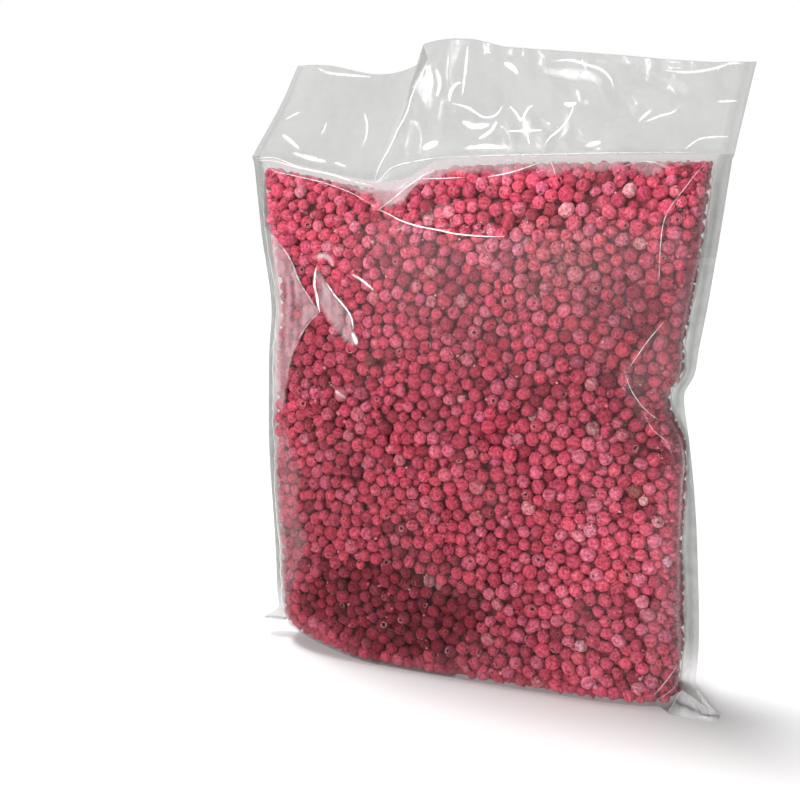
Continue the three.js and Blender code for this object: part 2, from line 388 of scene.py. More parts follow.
def grown(name, carrier, tree, inputs):
    """The plain mesh that a geometry tree makes from the carrier; `inputs` go by socket name."""
    modifier = carrier.modifiers.new("grow", "NODES")
    modifier.node_group = tree
    sockets = {s.name: s.identifier for s in tree.interface.items_tree
               if s.item_type == "SOCKET" and s.in_out == "INPUT"}
    for key, value in inputs.items():
        modifier[sockets[key]] = value
    carrier.update_tag()
    graph = bpy.context.evaluated_depsgraph_get()
    graph.update()
    mesh = bpy.data.meshes.new_from_object(carrier.evaluated_get(graph), depsgraph=graph)
    mesh.name = name
    made = bpy.data.objects.new(name, mesh)
    bpy.context.scene.collection.objects.link(made)
    bpy.data.objects.remove(carrier)
    return made


def add_number(made, name, values):
    attribute = made.data.attributes.new(name, "FLOAT", "POINT")
    attribute.data.foreach_set("value", np.asarray(values, np.float32).ravel())


def add_colour(made, name, values):
    attribute = made.data.attributes.new(name, "FLOAT_COLOR", "POINT")
    solid = np.concatenate((values, np.ones((len(values), 1))), 1)
    attribute.data.foreach_set("color", solid.astype(np.float32).ravel())


def add_vector(made, name, values):
    attribute = made.data.attributes.new(name, "FLOAT_VECTOR", "POINT")
    attribute.data.foreach_set("vector", np.asarray(values, np.float32).ravel())


def sheet_faces(rows, columns, start=0, flipped=False):
    index = start + np.arange(rows * columns).reshape(rows, columns)
    quads = np.stack((index[:-1, :-1], index[:-1, 1:], index[1:, 1:], index[1:, :-1]), -1)
    quads = quads.reshape(-1, 4)
    return quads[:, ::-1] if flipped else quads


def pillow_faces(rows, columns):
    """Faces of a closed pillow of two sheets, the front one first and the back one after it."""
    count = rows * columns
    front = np.arange(count).reshape(rows, columns)
    back = front + count
    faces = [sheet_faces(rows, columns), sheet_faces(rows, columns, count, True)]
    rims = ((front[:, 0][::-1], back[:, 0][::-1]), (front[:, -1], back[:, -1]),
            (front[0], back[0]), (front[-1][::-1], back[-1][::-1]))
    for a, b in rims:
        faces.append(np.stack((a[:-1], b[:-1], b[1:], a[1:]), -1))
    return np.concatenate(faces)


def grid_normals(points):
    """Unit normals of a grid of points, to the left of rows going up and columns going right."""
    right = np.gradient(points, axis=1)
    up = np.gradient(points, axis=0)
    normal = np.cross(right, up)
    return normal / np.maximum(np.linalg.norm(normal, axis=-1, keepdims=True), 1e-9)


# ---- Node sockets as expressions --------------------------------------------------------------

class Value:
    """A node's socket, with the arithmetic that the finishes and the geometry trees use."""

    def __init__(self, maker, socket):
        self.maker, self.socket = maker, socket

    def math(self, operation, *others):
        return self.maker.node("ShaderNodeMath", {"operation": operation}, [self, *others])

    def __add__(self, other):
        return self.math("ADD", other)

    __radd__ = __add__

    def __sub__(self, other):
        return self.math("SUBTRACT", other)

    def __rsub__(self, other):
        return self.maker.node("ShaderNodeMath", {"operation": "SUBTRACT"}, [other, self])

    def __mul__(self, other):
        return self.math("MULTIPLY", other)

    __rmul__ = __mul__

    def __neg__(self):
        return self * -1

    def __truediv__(self, other):
        return self.math("DIVIDE", other)

    def __rtruediv__(self, other):
        return self.maker.node("ShaderNodeMath", {"operation": "DIVIDE"}, [other, self])

    def __pow__(self, other):
        return self.math("POWER", other)

    def clamped(self):
        return self.maker.node("ShaderNodeClamp", {}, [self, 0.0, 1.0])

    def between(self, low, high):
        """0 below low and 1 above high, with a smooth step."""
        settings = {"interpolation_type": "SMOOTHSTEP"}
        return self.maker.node("ShaderNodeMapRange", settings, [self, low, high, 0.0, 1.0])


class Nodes:
    """A node tree whose nodes are made by one method."""

    def __init__(self, tree):
        self.tree = tree

    def node(self, kind, settings=None, inputs=(), output=0):
        """A new node's output; its inputs are given by place or name, as values or outputs."""
        made = self.tree.nodes.new(kind)
        for key, value in (settings or {}).items():
            setattr(made, key, value)
        pairs = inputs.items() if isinstance(inputs, dict) else enumerate(inputs)
        for key, value in pairs:
            if isinstance(value, Value):
                self.tree.links.new(value.socket, made.inputs[key])
            else:
                made.inputs[key].default_value = value
        return Value(self, made.outputs[output])

    def ended(self, kind, result, socket):
        """Feeds the result to an output node."""
        self.tree.links.new(result.socket, self.tree.nodes.new(kind).inputs[socket])


class Growth(Nodes):
    """A geometry tree with named inputs, of which `Finish` is the material of what it makes."""

    def __init__(self, name, inputs):
        super().__init__(bpy.data.node_groups.new(name, "GeometryNodeTree"))
        face = self.tree.interface
        face.new_socket("Geometry", in_out="INPUT", socket_type="NodeSocketGeometry")
        for label, kind, default in inputs:
            socket = face.new_socket(label, in_out="INPUT", socket_type="NodeSocket" + kind)
            if default is not None:
                socket.default_value = default
        face.new_socket("Finish", in_out="INPUT", socket_type="NodeSocketMaterial")
        face.new_socket("Geometry", in_out="OUTPUT", socket_type="NodeSocketGeometry")

    def given(self, name):
        return self.node("NodeGroupInput", output=name)

    def named(self, name, kind="FLOAT_VECTOR"):
        settings = {"data_type": kind}
        return self.node("GeometryNodeInputNamedAttribute", settings, {"Name": name}, "Attribute")

    def real(self, instances):
        return self.node("GeometryNodeRealizeInstances", {}, [instances])

    def coated(self, geometry):
        """Gives the geometry the material `Finish`, ends the tree there and returns it."""
        inputs = {"Geometry": geometry, "Material": self.given("Finish")}
        self.ended("NodeGroupOutput", self.node("GeometryNodeSetMaterial", {}, inputs), "Geometry")
        return self.tree


class Finish(Nodes):
    """A material."""

    def __init__(self, name):
        self.material = bpy.data.materials.new(name)
        self.material.use_nodes = True
        super().__init__(self.material.node_tree)
        self.tree.nodes.clear()

    def noise(self, size_mm, detail=2.0, roughness=0.5):
        """Noise between 0 and 1 with lumps of about size_mm."""
        place = self.node("ShaderNodeTexCoord", output="Object")
        inputs = {"Vector": place, "Scale": 1 / (size_mm * MM), "Detail": detail, "Roughness": roughness}
        return self.node("ShaderNodeTexNoise", {}, inputs)

    def attribute(self, name, output="Fac"):
        return self.node("ShaderNodeAttribute", {"attribute_name": name}, output=output)

    def mix(self, share, a, b, blend="MIX"):
        settings = {"data_type": "RGBA", "blend_type": blend}
        inputs = {"Factor": share, 6: a, 7: b}
        return self.node("ShaderNodeMix", settings, inputs, output=2)

    def bump(self, height, distance_mm, strength=1.0):
        inputs = {"Height": height, "Distance": distance_mm * MM, "Strength": strength}
        return self.node("ShaderNodeBump", {}, inputs)

    def skin(self, inputs):
        return self.node("ShaderNodeBsdfPrincipled", {}, inputs)

    def clear(self, tint=(1.0, 1.0, 1.0)):
        return self.node("ShaderNodeBsdfTransparent", {}, {"Color": (*tint, 1.0)})

    def blend(self, share, first, second):
        return self.node("ShaderNodeMixShader", {}, [share, first, second])

    def shown(self, shader):
        self.ended("ShaderNodeOutputMaterial", shader, "Surface")
        return self.material


# ---- Finishes ---------------------------------------------------------------------------------

def film_finish(settings):
    """Clear glossy film: milky where its `milk` says, its haze over the fill pink and dimmer as painted
    light from the berries, and mirror-like by its `gloss` and its tilt.
    """
    finish = Finish("pouch_film")
    facing = finish.node("ShaderNodeLayerWeight", {}, {"Blend": 0.5}, output="Facing")
    head_on = settings.mirror + finish.attribute("gloss")
    mirror = head_on + (1 - head_on) * facing ** 5
    cloud = finish.noise(11.0, 4.0, 0.6)
    milk = finish.attribute("milk") * (0.45 + 1.1 * cloud)
    share = (mirror + milk).clamped()
    metal = (mirror / (mirror + milk)).clamped()
    ripple = finish.noise(8.0, 2.0) * 0.7 + finish.noise(2.6, 1.0) * 0.2
    # painted light: over the fill the haze takes a pink, dimmer colour in place of the berries' light
    # shining through it
    haze = finish.mix(finish.attribute("berry_light").clamped(), (*settings.milk_colour, 1.0),
                      (*settings.berry_light_colour, 1.0))
    body = finish.mix(finish.attribute("shade").clamped(), haze, (*settings.shade_colour, 1.0))
    inputs = {
        "Base Color": finish.mix(metal, body, (0.96, 0.96, 0.96, 1.0)),
        "Metallic": metal,
        "Roughness": 0.07 + 0.5 * milk,
        "Normal": finish.bump(ripple, 0.3),
    }
    thin = finish.attribute("thin").clamped()
    clear = finish.blend(thin, finish.clear(settings.film_tint), finish.clear())
    return finish.shown(finish.blend(share, clear, finish.skin(inputs)))


def shine_finish(name, grain_mm):
    """Painted glare on the film's creases and bent places, white and partly mirror-like, as strong as
    their `shine` and a little broken.
    """
    finish = Finish(name)
    broken = finish.noise(grain_mm, 3.0, 0.6).between(0.3, 0.62)
    inputs = {"Base Color": (0.97, 0.97, 0.97, 1.0), "Roughness": 0.3, "Metallic": 0.2}
    share = (finish.attribute("shine") * (0.4 + 0.6 * broken)).clamped()
    return finish.shown(finish.blend(share, finish.clear(), finish.skin(inputs)))


def berry_finish():
    """Matte, dusty, mottled skins with fine veins, and a scar at one end."""
    finish = Finish("berry_skin")
    tint = finish.attribute("tint", "Color")
    scar = finish.attribute("scar")
    local = finish.attribute("local", "Vector")
    x, y, z = (finish.node("ShaderNodeSeparateXYZ", {}, [local], output=k) for k in range(3))
    mottle = finish.noise(2.1, 4.0, 0.68)
    speck = finish.noise(1.0, 2.0, 0.6)
    blotch = finish.noise(5.0, 1.0)
    off_axis = (x * x + y * y) ** 0.5 + 0.45 * (mottle - 0.5)
    top = z.between(0.0, 0.3) * scar
    hole = (1 - off_axis.between(0.08, 0.24)) * top
    rim = off_axis.between(0.22, 0.30) * (1 - off_axis.between(0.36, 0.48)) * top
    stem = 0.6 * (1 - off_axis.between(0.03, 0.14)) * (-z).between(0.0, 0.3)
    wave = (y.math("ARCTAN2", x) * 7 + 14 * mottle).math("SINE")
    veins = wave.between(0.35, 1.0) * off_axis.between(0.25, 0.6)
    dusty = finish.mix(1.0, tint, (1.3, 3.2, 2.5, 1.0), "MULTIPLY")
    dust = finish.mix(mottle.between(0.48, 0.70) * 0.6, tint, dusty)
    deep = finish.mix(1.0, dust, (0.34, 0.10, 0.17, 1.0), "MULTIPLY")
    dark = 0.22 * veins + 0.9 * (1 - mottle.between(0.32, 0.46)) + 0.6 * speck.between(0.54, 0.68)
    worn = finish.mix((dark * (0.5 + 1.0 * blotch)).clamped() * 0.95, dust, deep)
    ringed = finish.mix(rim * 0.55, worn, (0.78, 0.30, 0.33, 1.0))
    open_end = finish.mix((hole + stem).clamped() * 0.85, ringed, (0.10, 0.008, 0.016, 1.0))
    relief = mottle + 0.45 * speck - 0.2 * veins + 0.7 * rim - 1.0 * hole
    inputs = {
        "Base Color": open_end,
        "Roughness": 0.62 + 0.25 * mottle,
        "Specular IOR Level": 0.35,
        "Normal": finish.bump(relief, 1.0, 1.3),
    }
    return finish.shown(finish.skin(inputs))


def core_finish():
    """The shaded depth of the fill behind the outer berries."""
    finish = Finish("fill_core")
    lumps = finish.noise(7.0, 2.0)
    colour = finish.mix(lumps, (0.16, 0.012, 0.024, 1.0), (0.34, 0.03, 0.055, 1.0))
    inputs = {"Base Color": colour, "Roughness": 0.85, "Normal": finish.bump(lumps, 2.0)}
    return finish.shown(finish.skin(inputs))


def crumb_finish():
    """Pulp crumbs and pale seeds."""
    finish = Finish("berry_crumb")
    tint = finish.attribute("tint", "Color")
    inputs = {"Base Color": tint, "Roughness": 0.8}
    return finish.shown(finish.skin(inputs))


def floor_finish(colour):
    """A plain matt floor."""
    finish = Finish("studio_floor")
    grain = finish.noise(60.0, 2.0)
    inputs = {"Base Color": (*colour, 1.0), "Roughness": 0.75 + 0.1 * grain}
    return finish.shown(finish.skin(inputs))


# ---- Sizes and colours that a user would change -----------------------------------------------

class PouchFilmSettings(bpy.types.PropertyGroup):
    columns: bpy.props.IntProperty(
        name="Columns", description="Steps of the film across the body", default=200, min=20)
    body_rows: bpy.props.IntProperty(
        name="Body rows", description="Steps of the film from the bottom to the seal", default=150,
        min=20)
    flap_rows: bpy.props.IntProperty(
        name="Flap rows", description="Steps of the film from the seal to the free edge", default=72,
        min=6)
    wrinkle: bpy.props.FloatProperty(
        name="Wrinkles", description="Depth of the body's wrinkles against the usual", default=1.0,
        min=0.0)
    crumple: bpy.props.FloatProperty(
        name="Flap crumples", description="Depth of the flap's crumples against the usual", default=1.0,
        min=0.0)
    mirror: bpy.props.FloatProperty(
        name="Mirror", description="Share of light that the film mirrors head on", default=0.01,
        min=0.0, max=1.0, subtype="FACTOR")
    film_tint: bpy.props.FloatVectorProperty(
        name="Film tint", description="What one sheet of film lets through", size=3,
        default=(0.815, 0.82, 0.812), min=0.0, max=1.0, subtype="COLOR")
    milk_colour: bpy.props.FloatVectorProperty(
        name="Milk colour", description="Colour of the film's milky places", size=3,
        default=(0.56, 0.55, 0.55), min=0.0, max=1.0, subtype="COLOR")
    # painted light: the haze's pink over the berries stands in for their light shining through it
    berry_light_colour: bpy.props.FloatVectorProperty(
        name="Berry light colour", description="Colour of the film's haze where berries lie behind it", size=3,
        default=(0.36, 0.265, 0.28), min=0.0, max=1.0, subtype="COLOR")
    shade_colour: bpy.props.FloatVectorProperty(
        name="Shade colour", description="Colour of the film's seams and shaded slack places", size=3,
        default=(0.13, 0.135, 0.125), min=0.0, max=1.0, subtype="COLOR")


class PouchCreaseSettings(bpy.types.PropertyGroup):
    crease: bpy.props.FloatProperty(
        name="Crease width", description="Width of the sharp creases against the usual", default=1.0,
        min=0.0)
    gleam: bpy.props.FloatProperty(
        name="Gleam", description="Strength of the glare on bent places against the usual", default=1.0,
        min=0.0)


class PouchBerrySettings(bpy.types.PropertyGroup):
    diameter: bpy.props.FloatProperty(
        name="Diameter", description="Mean diameter of a berry", default=8.1 * MM, unit="LENGTH",
        min=0.001)
    spread: bpy.props.FloatProperty(
        name="Spread", description="Spread of the berries' diameters", default=0.85 * MM,
        unit="LENGTH", min=0.0)
    shell: bpy.props.FloatProperty(
        name="Shell", description="Depth of loose berries over the core", default=19.0 * MM,
        unit="LENGTH", min=0.001)
    fill: bpy.props.FloatProperty(
        name="Fill", description="Share of the shell that berries take", default=0.71, min=0.1, max=0.74,
        subtype="FACTOR")
    steps: bpy.props.IntProperty(
        name="Settling steps", description="Rounds of pushing berries apart", default=110, min=1)
    seed: bpy.props.IntProperty(name="Seed", description="Seed of all random draws", default=23)
    crumbs: bpy.props.IntProperty(
        name="Crumbs", description="Number of crumbs and seeds behind the film", default=520, min=1)
    skin: bpy.props.FloatVectorProperty(
        name="Skin colour", description="Usual colour of a berry", size=3, default=(0.58, 0.056, 0.108),
        min=0.0, max=1.0, subtype="COLOR")


class PouchStageSettings(bpy.types.PropertyGroup):
    lens: bpy.props.FloatProperty(
        name="Lens", description="Focal length in millimetres", default=48.6, min=1.0)
    overhead: bpy.props.FloatProperty(
        name="Overhead light", description="Strength of the even light from above", default=3.7, min=0.0)
    upper: bpy.props.FloatProperty(
        name="Upper light", description="Power in watts of the light before the top left", default=0.7,
        min=0.0)
    front: bpy.props.FloatProperty(
        name="Front light", description="Strength of the even light from the front", default=4.1, min=0.0)
    glints: bpy.props.FloatProperty(
        name="Softboxes", description="Power of the softboxes against the usual", default=1.0, min=0.0)
    studio: bpy.props.FloatProperty(
        name="Studio", description="Brightness of the studio around the pouch", default=0.15, min=0.0)
    mirrored: bpy.props.FloatProperty(
        name="Mirrored studio", description="Brightness of the studio in the film's gloss", default=0.7,
        min=0.0)
    floor_colour: bpy.props.FloatVectorProperty(
        name="Floor", description="Colour of the floor", size=3, default=(0.86, 0.86, 0.86), min=0.0,
        max=1.0, subtype="COLOR")


# ---- The film ---------------------------------------------------------------------------------

# Steps of the film across a seam, and rows round the bottom edges and up to the seal.
SEAM_COLUMNS = 4
BOTTOM_ROWS = (0.0, 1.2, 2.6, 4.2, 6.0, 7.8)
FIRST_EVEN_ROW = 9.0
SEAL_ROWS = 5
# The columns lie closer together towards the sides, by this share.
CLOSER_AT_SIDES = 0.45


def film_grid(settings):
    """The film's smooth form: front and back grids, and each row's height and place up the flap."""
    even = np.linspace(-1, 1, settings.columns)
    body = lerp(even, np.sin(even * math.pi / 2), CLOSER_AT_SIDES)
    rim = np.linspace(1, 1 / SEAM_COLUMNS, SEAM_COLUMNS)
    across = np.concatenate((np.full(SEAM_COLUMNS, -1.0), body, np.full(SEAM_COLUMNS, 1.0)))
    seam = np.concatenate((-rim, np.zeros(settings.columns), rim[::-1]))
    low_rows = np.linspace(FIRST_EVEN_ROW, FILL_ROW, settings.body_rows)
    seal_rows = np.linspace(FILL_ROW, SEAL_HEIGHT, SEAL_ROWS + 1)[1:]
    height = np.concatenate((BOTTOM_ROWS, low_rows, seal_rows))
    up = np.linspace(0, 1, settings.flap_rows + 1)[1:]
    sheets = []
    for side in (-1, 1):
        a, h = np.meshgrid(across, height)
        s = np.meshgrid(seam, height)[0]
        low = body_points(a, s, h, side)
        a, u = np.meshgrid(across, up)
        s = np.meshgrid(seam, up)[0]
        sheets.append(np.concatenate((low, flap_points(a, s, u, side))))
    rows_up = np.concatenate((np.zeros(len(height)), up))
    rows_height = np.concatenate((height, np.full(len(up), SEAL_HEIGHT)))
    return sheets[0], sheets[1], rows_height, rows_up, across, seam


# The share of a fold's length over which it fades out at each end.
FOLD_END = 0.12


def ridge(path, x, z, width, height):
    """A sharp fold along a path, fading out at both its ends."""
    distance, along = distance_to_path(path, x, z)
    ends = window(along, 0, FOLD_END, 1 - FOLD_END, 1)
    return height * np.exp(-distance / width) * ends


# Each wave of the crumples: its length and its slope.
BODY_WAVES = ((46, 0.05), (31, 0.06), (22, 0.07), (15, 0.08), (11, 0.08), (8, 0.07))
FLAP_WAVES = ((74, 0.12), (52, 0.13), (37, 0.16), (28, 0.17), (21, 0.16), (15, 0.14), (10, 0.11))
CALM_WAVES = ((90, 0.03), (52, 0.05), (30, 0.05), (17, 0.045))
# How far the wrinkled film is lifted, so that few wrinkles sink into the fill.
BODY_LIFT = 0.75


def body_relief(x, z, side, depth_share):
    """Wrinkles of the film over the fill, in millimetres; they mostly lift the film."""
    swell = Noise(11 + side)
    relief = 0.5 * swell(x / 34, z / 41) + 0.3 * swell(x / 15 + 9, z / 22)
    relief = relief + crumple(x, z, 61 + side, BODY_WAVES) + BODY_LIFT
    return relief * smooth(depth_share, 0.03, 0.35)


# Folds of the film over the fill: path as (x, height), width, height.
FRONT_FOLDS = (
    (((-35, 269), (-22, 262), (4, 257), (38, 258), (58, 260)), 2.6, 2.2),
    (((-86, 238), (-88, 228), (-86, 219), (-84, 212)), 1.4, 2.6),
    (((-83, 233), (-74, 223), (-67, 217), (-62, 211), (-60, 203), (-57, 196)), 1.5, 2.4),
    (((-84, 214), (-74, 205), (-69, 200), (-58, 194)), 1.5, 1.6),
    (((-117, 256), (-106, 245), (-99, 229), (-85, 212)), 1.8, 2.2),
    (((-85, 212), (-97, 198), (-104, 179), (-107, 167), (-110, 157)), 1.8, 2.2),
    (((-91, 180), (-87, 172), (-76, 161)), 1.6, 1.4),
    (((-134, 301), (-118, 293), (-104, 291), (-85, 287), (-63, 281), (-48, 275), (-38, 272)), 1.4, 1.6),
    (((-38, 272), (-31, 276), (-24, 283), (-21, 289)), 1.4, 1.6),
    (((131, 298), (113, 268), (111, 246), (109, 205)), 1.8, 1.3),
    (((112, 210), (96, 186), (105, 164), (113, 143)), 1.6, 1.4),
    (((102, 177), (108, 166), (114, 155), (120, 144), (124, 132)), 1.4, 1.2),
    (((112, 130), (116, 95), (118, 60), (119, 24)), 2.0, 1.0),
    (((-118, 118), (-112, 88), (-108, 52), (-104, 26)), 2.4, 1.2),
    (((128, 26), (121, 14), (116, 5)), 1.5, 1.2),
)
BACK_FOLDS = (
    (((-96, 268), (-60, 240), (-40, 205), (-36, 170)), 2.4, 2.2),
    (((104, 262), (78, 230), (70, 196)), 2.2, 2.0),
    (((-110, 190), (-84, 166), (-78, 130)), 2.2, 1.8),
    (((112, 150), (92, 128), (88, 90)), 2.0, 1.6),
    (((-20, 262), (-4, 236), (2, 206)), 2.0, 1.4),
)


# About how tall the flap is, for the scale of its crumples.
FLAP_HEIGHT = 62
# Where the flap's crumples grow strong, and where and to what share they calm down again.
CRUMPLED_FROM, CALMER_FROM, CALMER = (-54, -38), (70, 120), 0.55


def flap_relief(x, up):
    """Crumples of the flap, deepest on its right part and level at the seal."""
    z = up * FLAP_HEIGHT
    right = smooth(x, *CRUMPLED_FROM)
    strong = crumple(x, z, 29, FLAP_WAVES) * lerp(1.0, CALMER, smooth(x, *CALMER_FROM))
    calm = crumple(x, z, 31, CALM_WAVES) + 0.55 * Noise(29)(x / 37 + 20, z / 30)
    return lerp(calm, strong, right) * smooth(up, 0.0, 0.16)


# How milky the film is, from 0 clear to 1 white: everywhere, at the foot and at its edge,
CLEAR_MILK, FOOT_MILK, EDGE_MILK = 0.007, 0.02, 0.06
# towards the right, at the back, and below the shoulder's crease as a painted reflection of the light,
RIGHT_MILK, BACK_MILK, SHOULDER_REFLECTION = 0.015, 0.02, 0.08
# in the band under the seal, on the fold that hangs from it, in the slack place and the pleat,
BAND_MILK, FOLD_MILK, SLACK_MILK, PLEAT_MILK = 0.30, 0.45, 0.44, 0.46
# in the veils beside the seams, and on the rim between fill and seam,
LEFT_VEIL_MILK, RIGHT_VEIL_MILK, RIM_MILK = 0.13, 0.07, 0.16
# on the flap and just above its seal, on the seams and along their middle line.
FLAP_MILK, SEAL_MILK, SEAM_MILK, SEAM_LINE_MILK = 0.115, 0.10, 0.3, 0.14
# Dusty places on the front, as (x, height, reach), and how milky they are.
DUST_PLACES, DUST_MILK = ((78, 52, 13), (24, 112, 10)), 0.05
# The share of the milk that is gone where the film clings to the berries.
CLING_CLEARS = 0.85


def band_milk(x, z, cloud):
    """The milky band under the seal, which reaches down over the fold and thins out on the left."""
    above = z - through(BAND_EDGE, x) - 1.2 * cloud(x / 6, z / 6)
    milk = lerp(BAND_MILK, FOLD_MILK, smooth(x, -70, -50) * smooth(-x, 12, 24))
    return milk * smooth(above, -0.8, 1.2) * (1 - smooth(above, 4, 7) * smooth(-x, 92, 108))


def shoulder_reflection(x, z):
    """A painted reflection: a milky veil below the shoulder's crease, where the film mirrors the light,
    sharp along the crease's deep part.
    """
    soften = lerp(12.0, 1.6, smooth(x, -46, -38) * smooth(-x, -52, -38))
    below = smooth(through(SHOULDER_CREASE, x) - z, -soften, soften)
    return SHOULDER_REFLECTION * below * smooth(z, 150, 258) * smooth(x, -80, -30)


def veil_milk(x, z, cloud):
    """The milky film beside the seams."""
    left = through(LEFT_VEIL, z) + 4 * cloud(x / 9, z / 12) - x
    right = x - through(RIGHT_VEIL, z) - 4 * cloud(x / 8, z / 13)
    milk = LEFT_VEIL_MILK * smooth(left, -1, 3) * (1 - smooth(z, 130, 150))
    return milk + RIGHT_VEIL_MILK * smooth(right, -1, 3) * (1 - smooth(z, 240, 268))


def milkiness(x, z, side):
    """How milky the film over the fill looks, from 0 to 1, with a painted reflection below the shoulder's
    crease.
    """
    cloud = Noise(41 + side)
    milk = CLEAR_MILK + 0.008 * cloud(x / 26, z / 31) + 0.006 * cloud(x / 8, z / 8)
    milk = milk + FOOT_MILK * (1 - smooth(z, 8, 40)) + EDGE_MILK * (1 - smooth(z, 2, 8))
    milk = milk + RIGHT_MILK * smooth(x, 40, 120)
    if side > 0:
        return milk + BACK_MILK
    milk = milk + shoulder_reflection(x, z) + band_milk(x, z, cloud) + veil_milk(x, z, cloud)
    streak = 0.75 + 0.5 * cloud(x / 3, z / 14)
    milk = milk + (SLACK_MILK * slack(x, z) + PLEAT_MILK * pleat(x, z)) * streak
    dust = sum(bell(np.hypot(x - across, z - height), reach) for across, height, reach in DUST_PLACES)
    milk = milk + DUST_MILK * dust * (0.5 + 0.5 * cloud(x / 2.2, z / 2.2))
    return milk * (1 - CLING_CLEARS * cling(x, z))


# How shaded the seams are on the left and the right, the flap's own film and seams, and the rim.
LEFT_SHADE, RIGHT_SHADE, FLAP_SEAM_SHADE, FLAP_SHADE, RIM_SHADE = 0.95, 0.84, 0.1, 0.75, 0.4
# The ear's film is nearly untinted, and the flap's is glossier.
EAR_THIN, FLAP_GLOSS = 0.85, 0.04
MOST_MILK = 0.95
# Drawn folds are raised by this share of their height.
FOLD_SHARE = 0.6


def film_looks(x, z, side, across, seam, up):
    """What the film's finish reads at each point of a sheet, by name, from 0 to 1."""
    cloud = Noise(53)
    in_flap = (up > 0)[:, None] * 1.0
    in_seam = (np.abs(seam) > 0)[None, :] * 1.0
    on_body = (1 - in_flap) * (1 - in_seam)
    rim = smooth(np.abs(across), 0.95, 0.99)[None, :] * (1 - in_flap) * smooth(z, 6, 30)
    on_flap = FLAP_MILK + 0.06 * cloud(x / 23, z / 17) + 0.03 * cloud(x / 7, z / 8)
    on_flap = on_flap + SEAL_MILK * bell(up[:, None] - 0.03, 0.03)
    on_seam = SEAM_MILK + 0.05 * cloud(x / 4, z / 30)
    on_seam = on_seam + SEAM_LINE_MILK * bell(np.abs(seam) - 0.5, 0.1)[None, :]
    beside = np.where(in_flap > in_seam, on_flap, on_seam * lerp(1.0, 0.6, in_flap))
    beside = beside * lerp(0.4, 1.0, smooth(z, 12, 34)) * lerp(1.4, 1.0, smooth(x, -60, 60))
    milk = lerp(np.where(on_body > 0, milkiness(x, z, side), beside), RIM_MILK, rim * on_body)
    seam_shade = lerp(lerp(LEFT_SHADE, RIGHT_SHADE, smooth(x, -60, 60)), FLAP_SEAM_SHADE, in_flap)
    shade = np.maximum(seam_shade * in_seam + FLAP_SHADE * in_flap, RIM_SHADE * rim) * smooth(z, 8, 40)
    return {
        "milk": clamp(milk, 0.0, MOST_MILK),
        "shade": clamp(shade, 0.0, 1.0),
        # painted light from the berries behind, on the body's film only
        "berry_light": on_body * (1 - 0.4 * rim),
        "thin": EAR_THIN * (1 - smooth(z, 8, 30)) * (seam > 0)[None, :],
        "gloss": FLAP_GLOSS * in_flap + 0 * x,
    }


def bent_sheet(settings, base, side, height, up, across):
    """One of the film's two sheets, with its wrinkles, folds and crumples."""
    x, z = base[..., 0], base[..., 2]
    depth_share = np.abs(base[..., 1]) / FRONT_DEPTH
    relief = settings.wrinkle * body_relief(x, z, side, depth_share)
    for path, width, high in (FRONT_FOLDS if side < 0 else BACK_FOLDS):
        relief = relief + ridge(path, x, z, width, high * FOLD_SHARE) * smooth(depth_share, 0.02, 0.2)
    relief = relief * ((up == 0) * smooth(height, 3, 18))[:, None]
    moved = base + (grid_normals(base) * -side) * relief[..., None]
    # the flap's two sheets crumple together, a little apart
    flap = settings.crumple * flap_relief(x, up[:, None]) * (up > 0)[:, None]
    apart = 0.5 * (1 + Noise(53)(x / 19, z / 17)) * smooth(up, 0.05, 0.3)[:, None]
    apart = apart * smooth(1 - np.abs(across), 0, 0.08) * smooth(1 - up, 0, 0.1)[:, None]
    moved[..., 1] += flap + side * apart
    return moved


def make_film(settings):
    """The front and back sheets, closed at their rims, with what their finish reads."""
    front, back, height, up, across, seam = film_grid(settings)
    sheets, looks = [], []
    for side, base in ((-1, front), (1, back)):
        sheets.append(bent_sheet(settings, base, side, height, up, across))
        looks.append(film_looks(base[..., 0], base[..., 2], side, across, seam, up))
    vertices = np.concatenate([sheet.reshape(-1, 3) for sheet in sheets])
    vertices[:, 2] = np.maximum(vertices[:, 2], 0.0)
    made = new_object("pouch_film", vertices, pillow_faces(*front.shape[:2]))
    for name in looks[0]:
        add_number(made, name, [look[name] for look in looks])
    made.data.materials.append(film_finish(settings))
    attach(made, BODY)
    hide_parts(SOLID)


# ---- The fill ---------------------------------------------------------------------------------

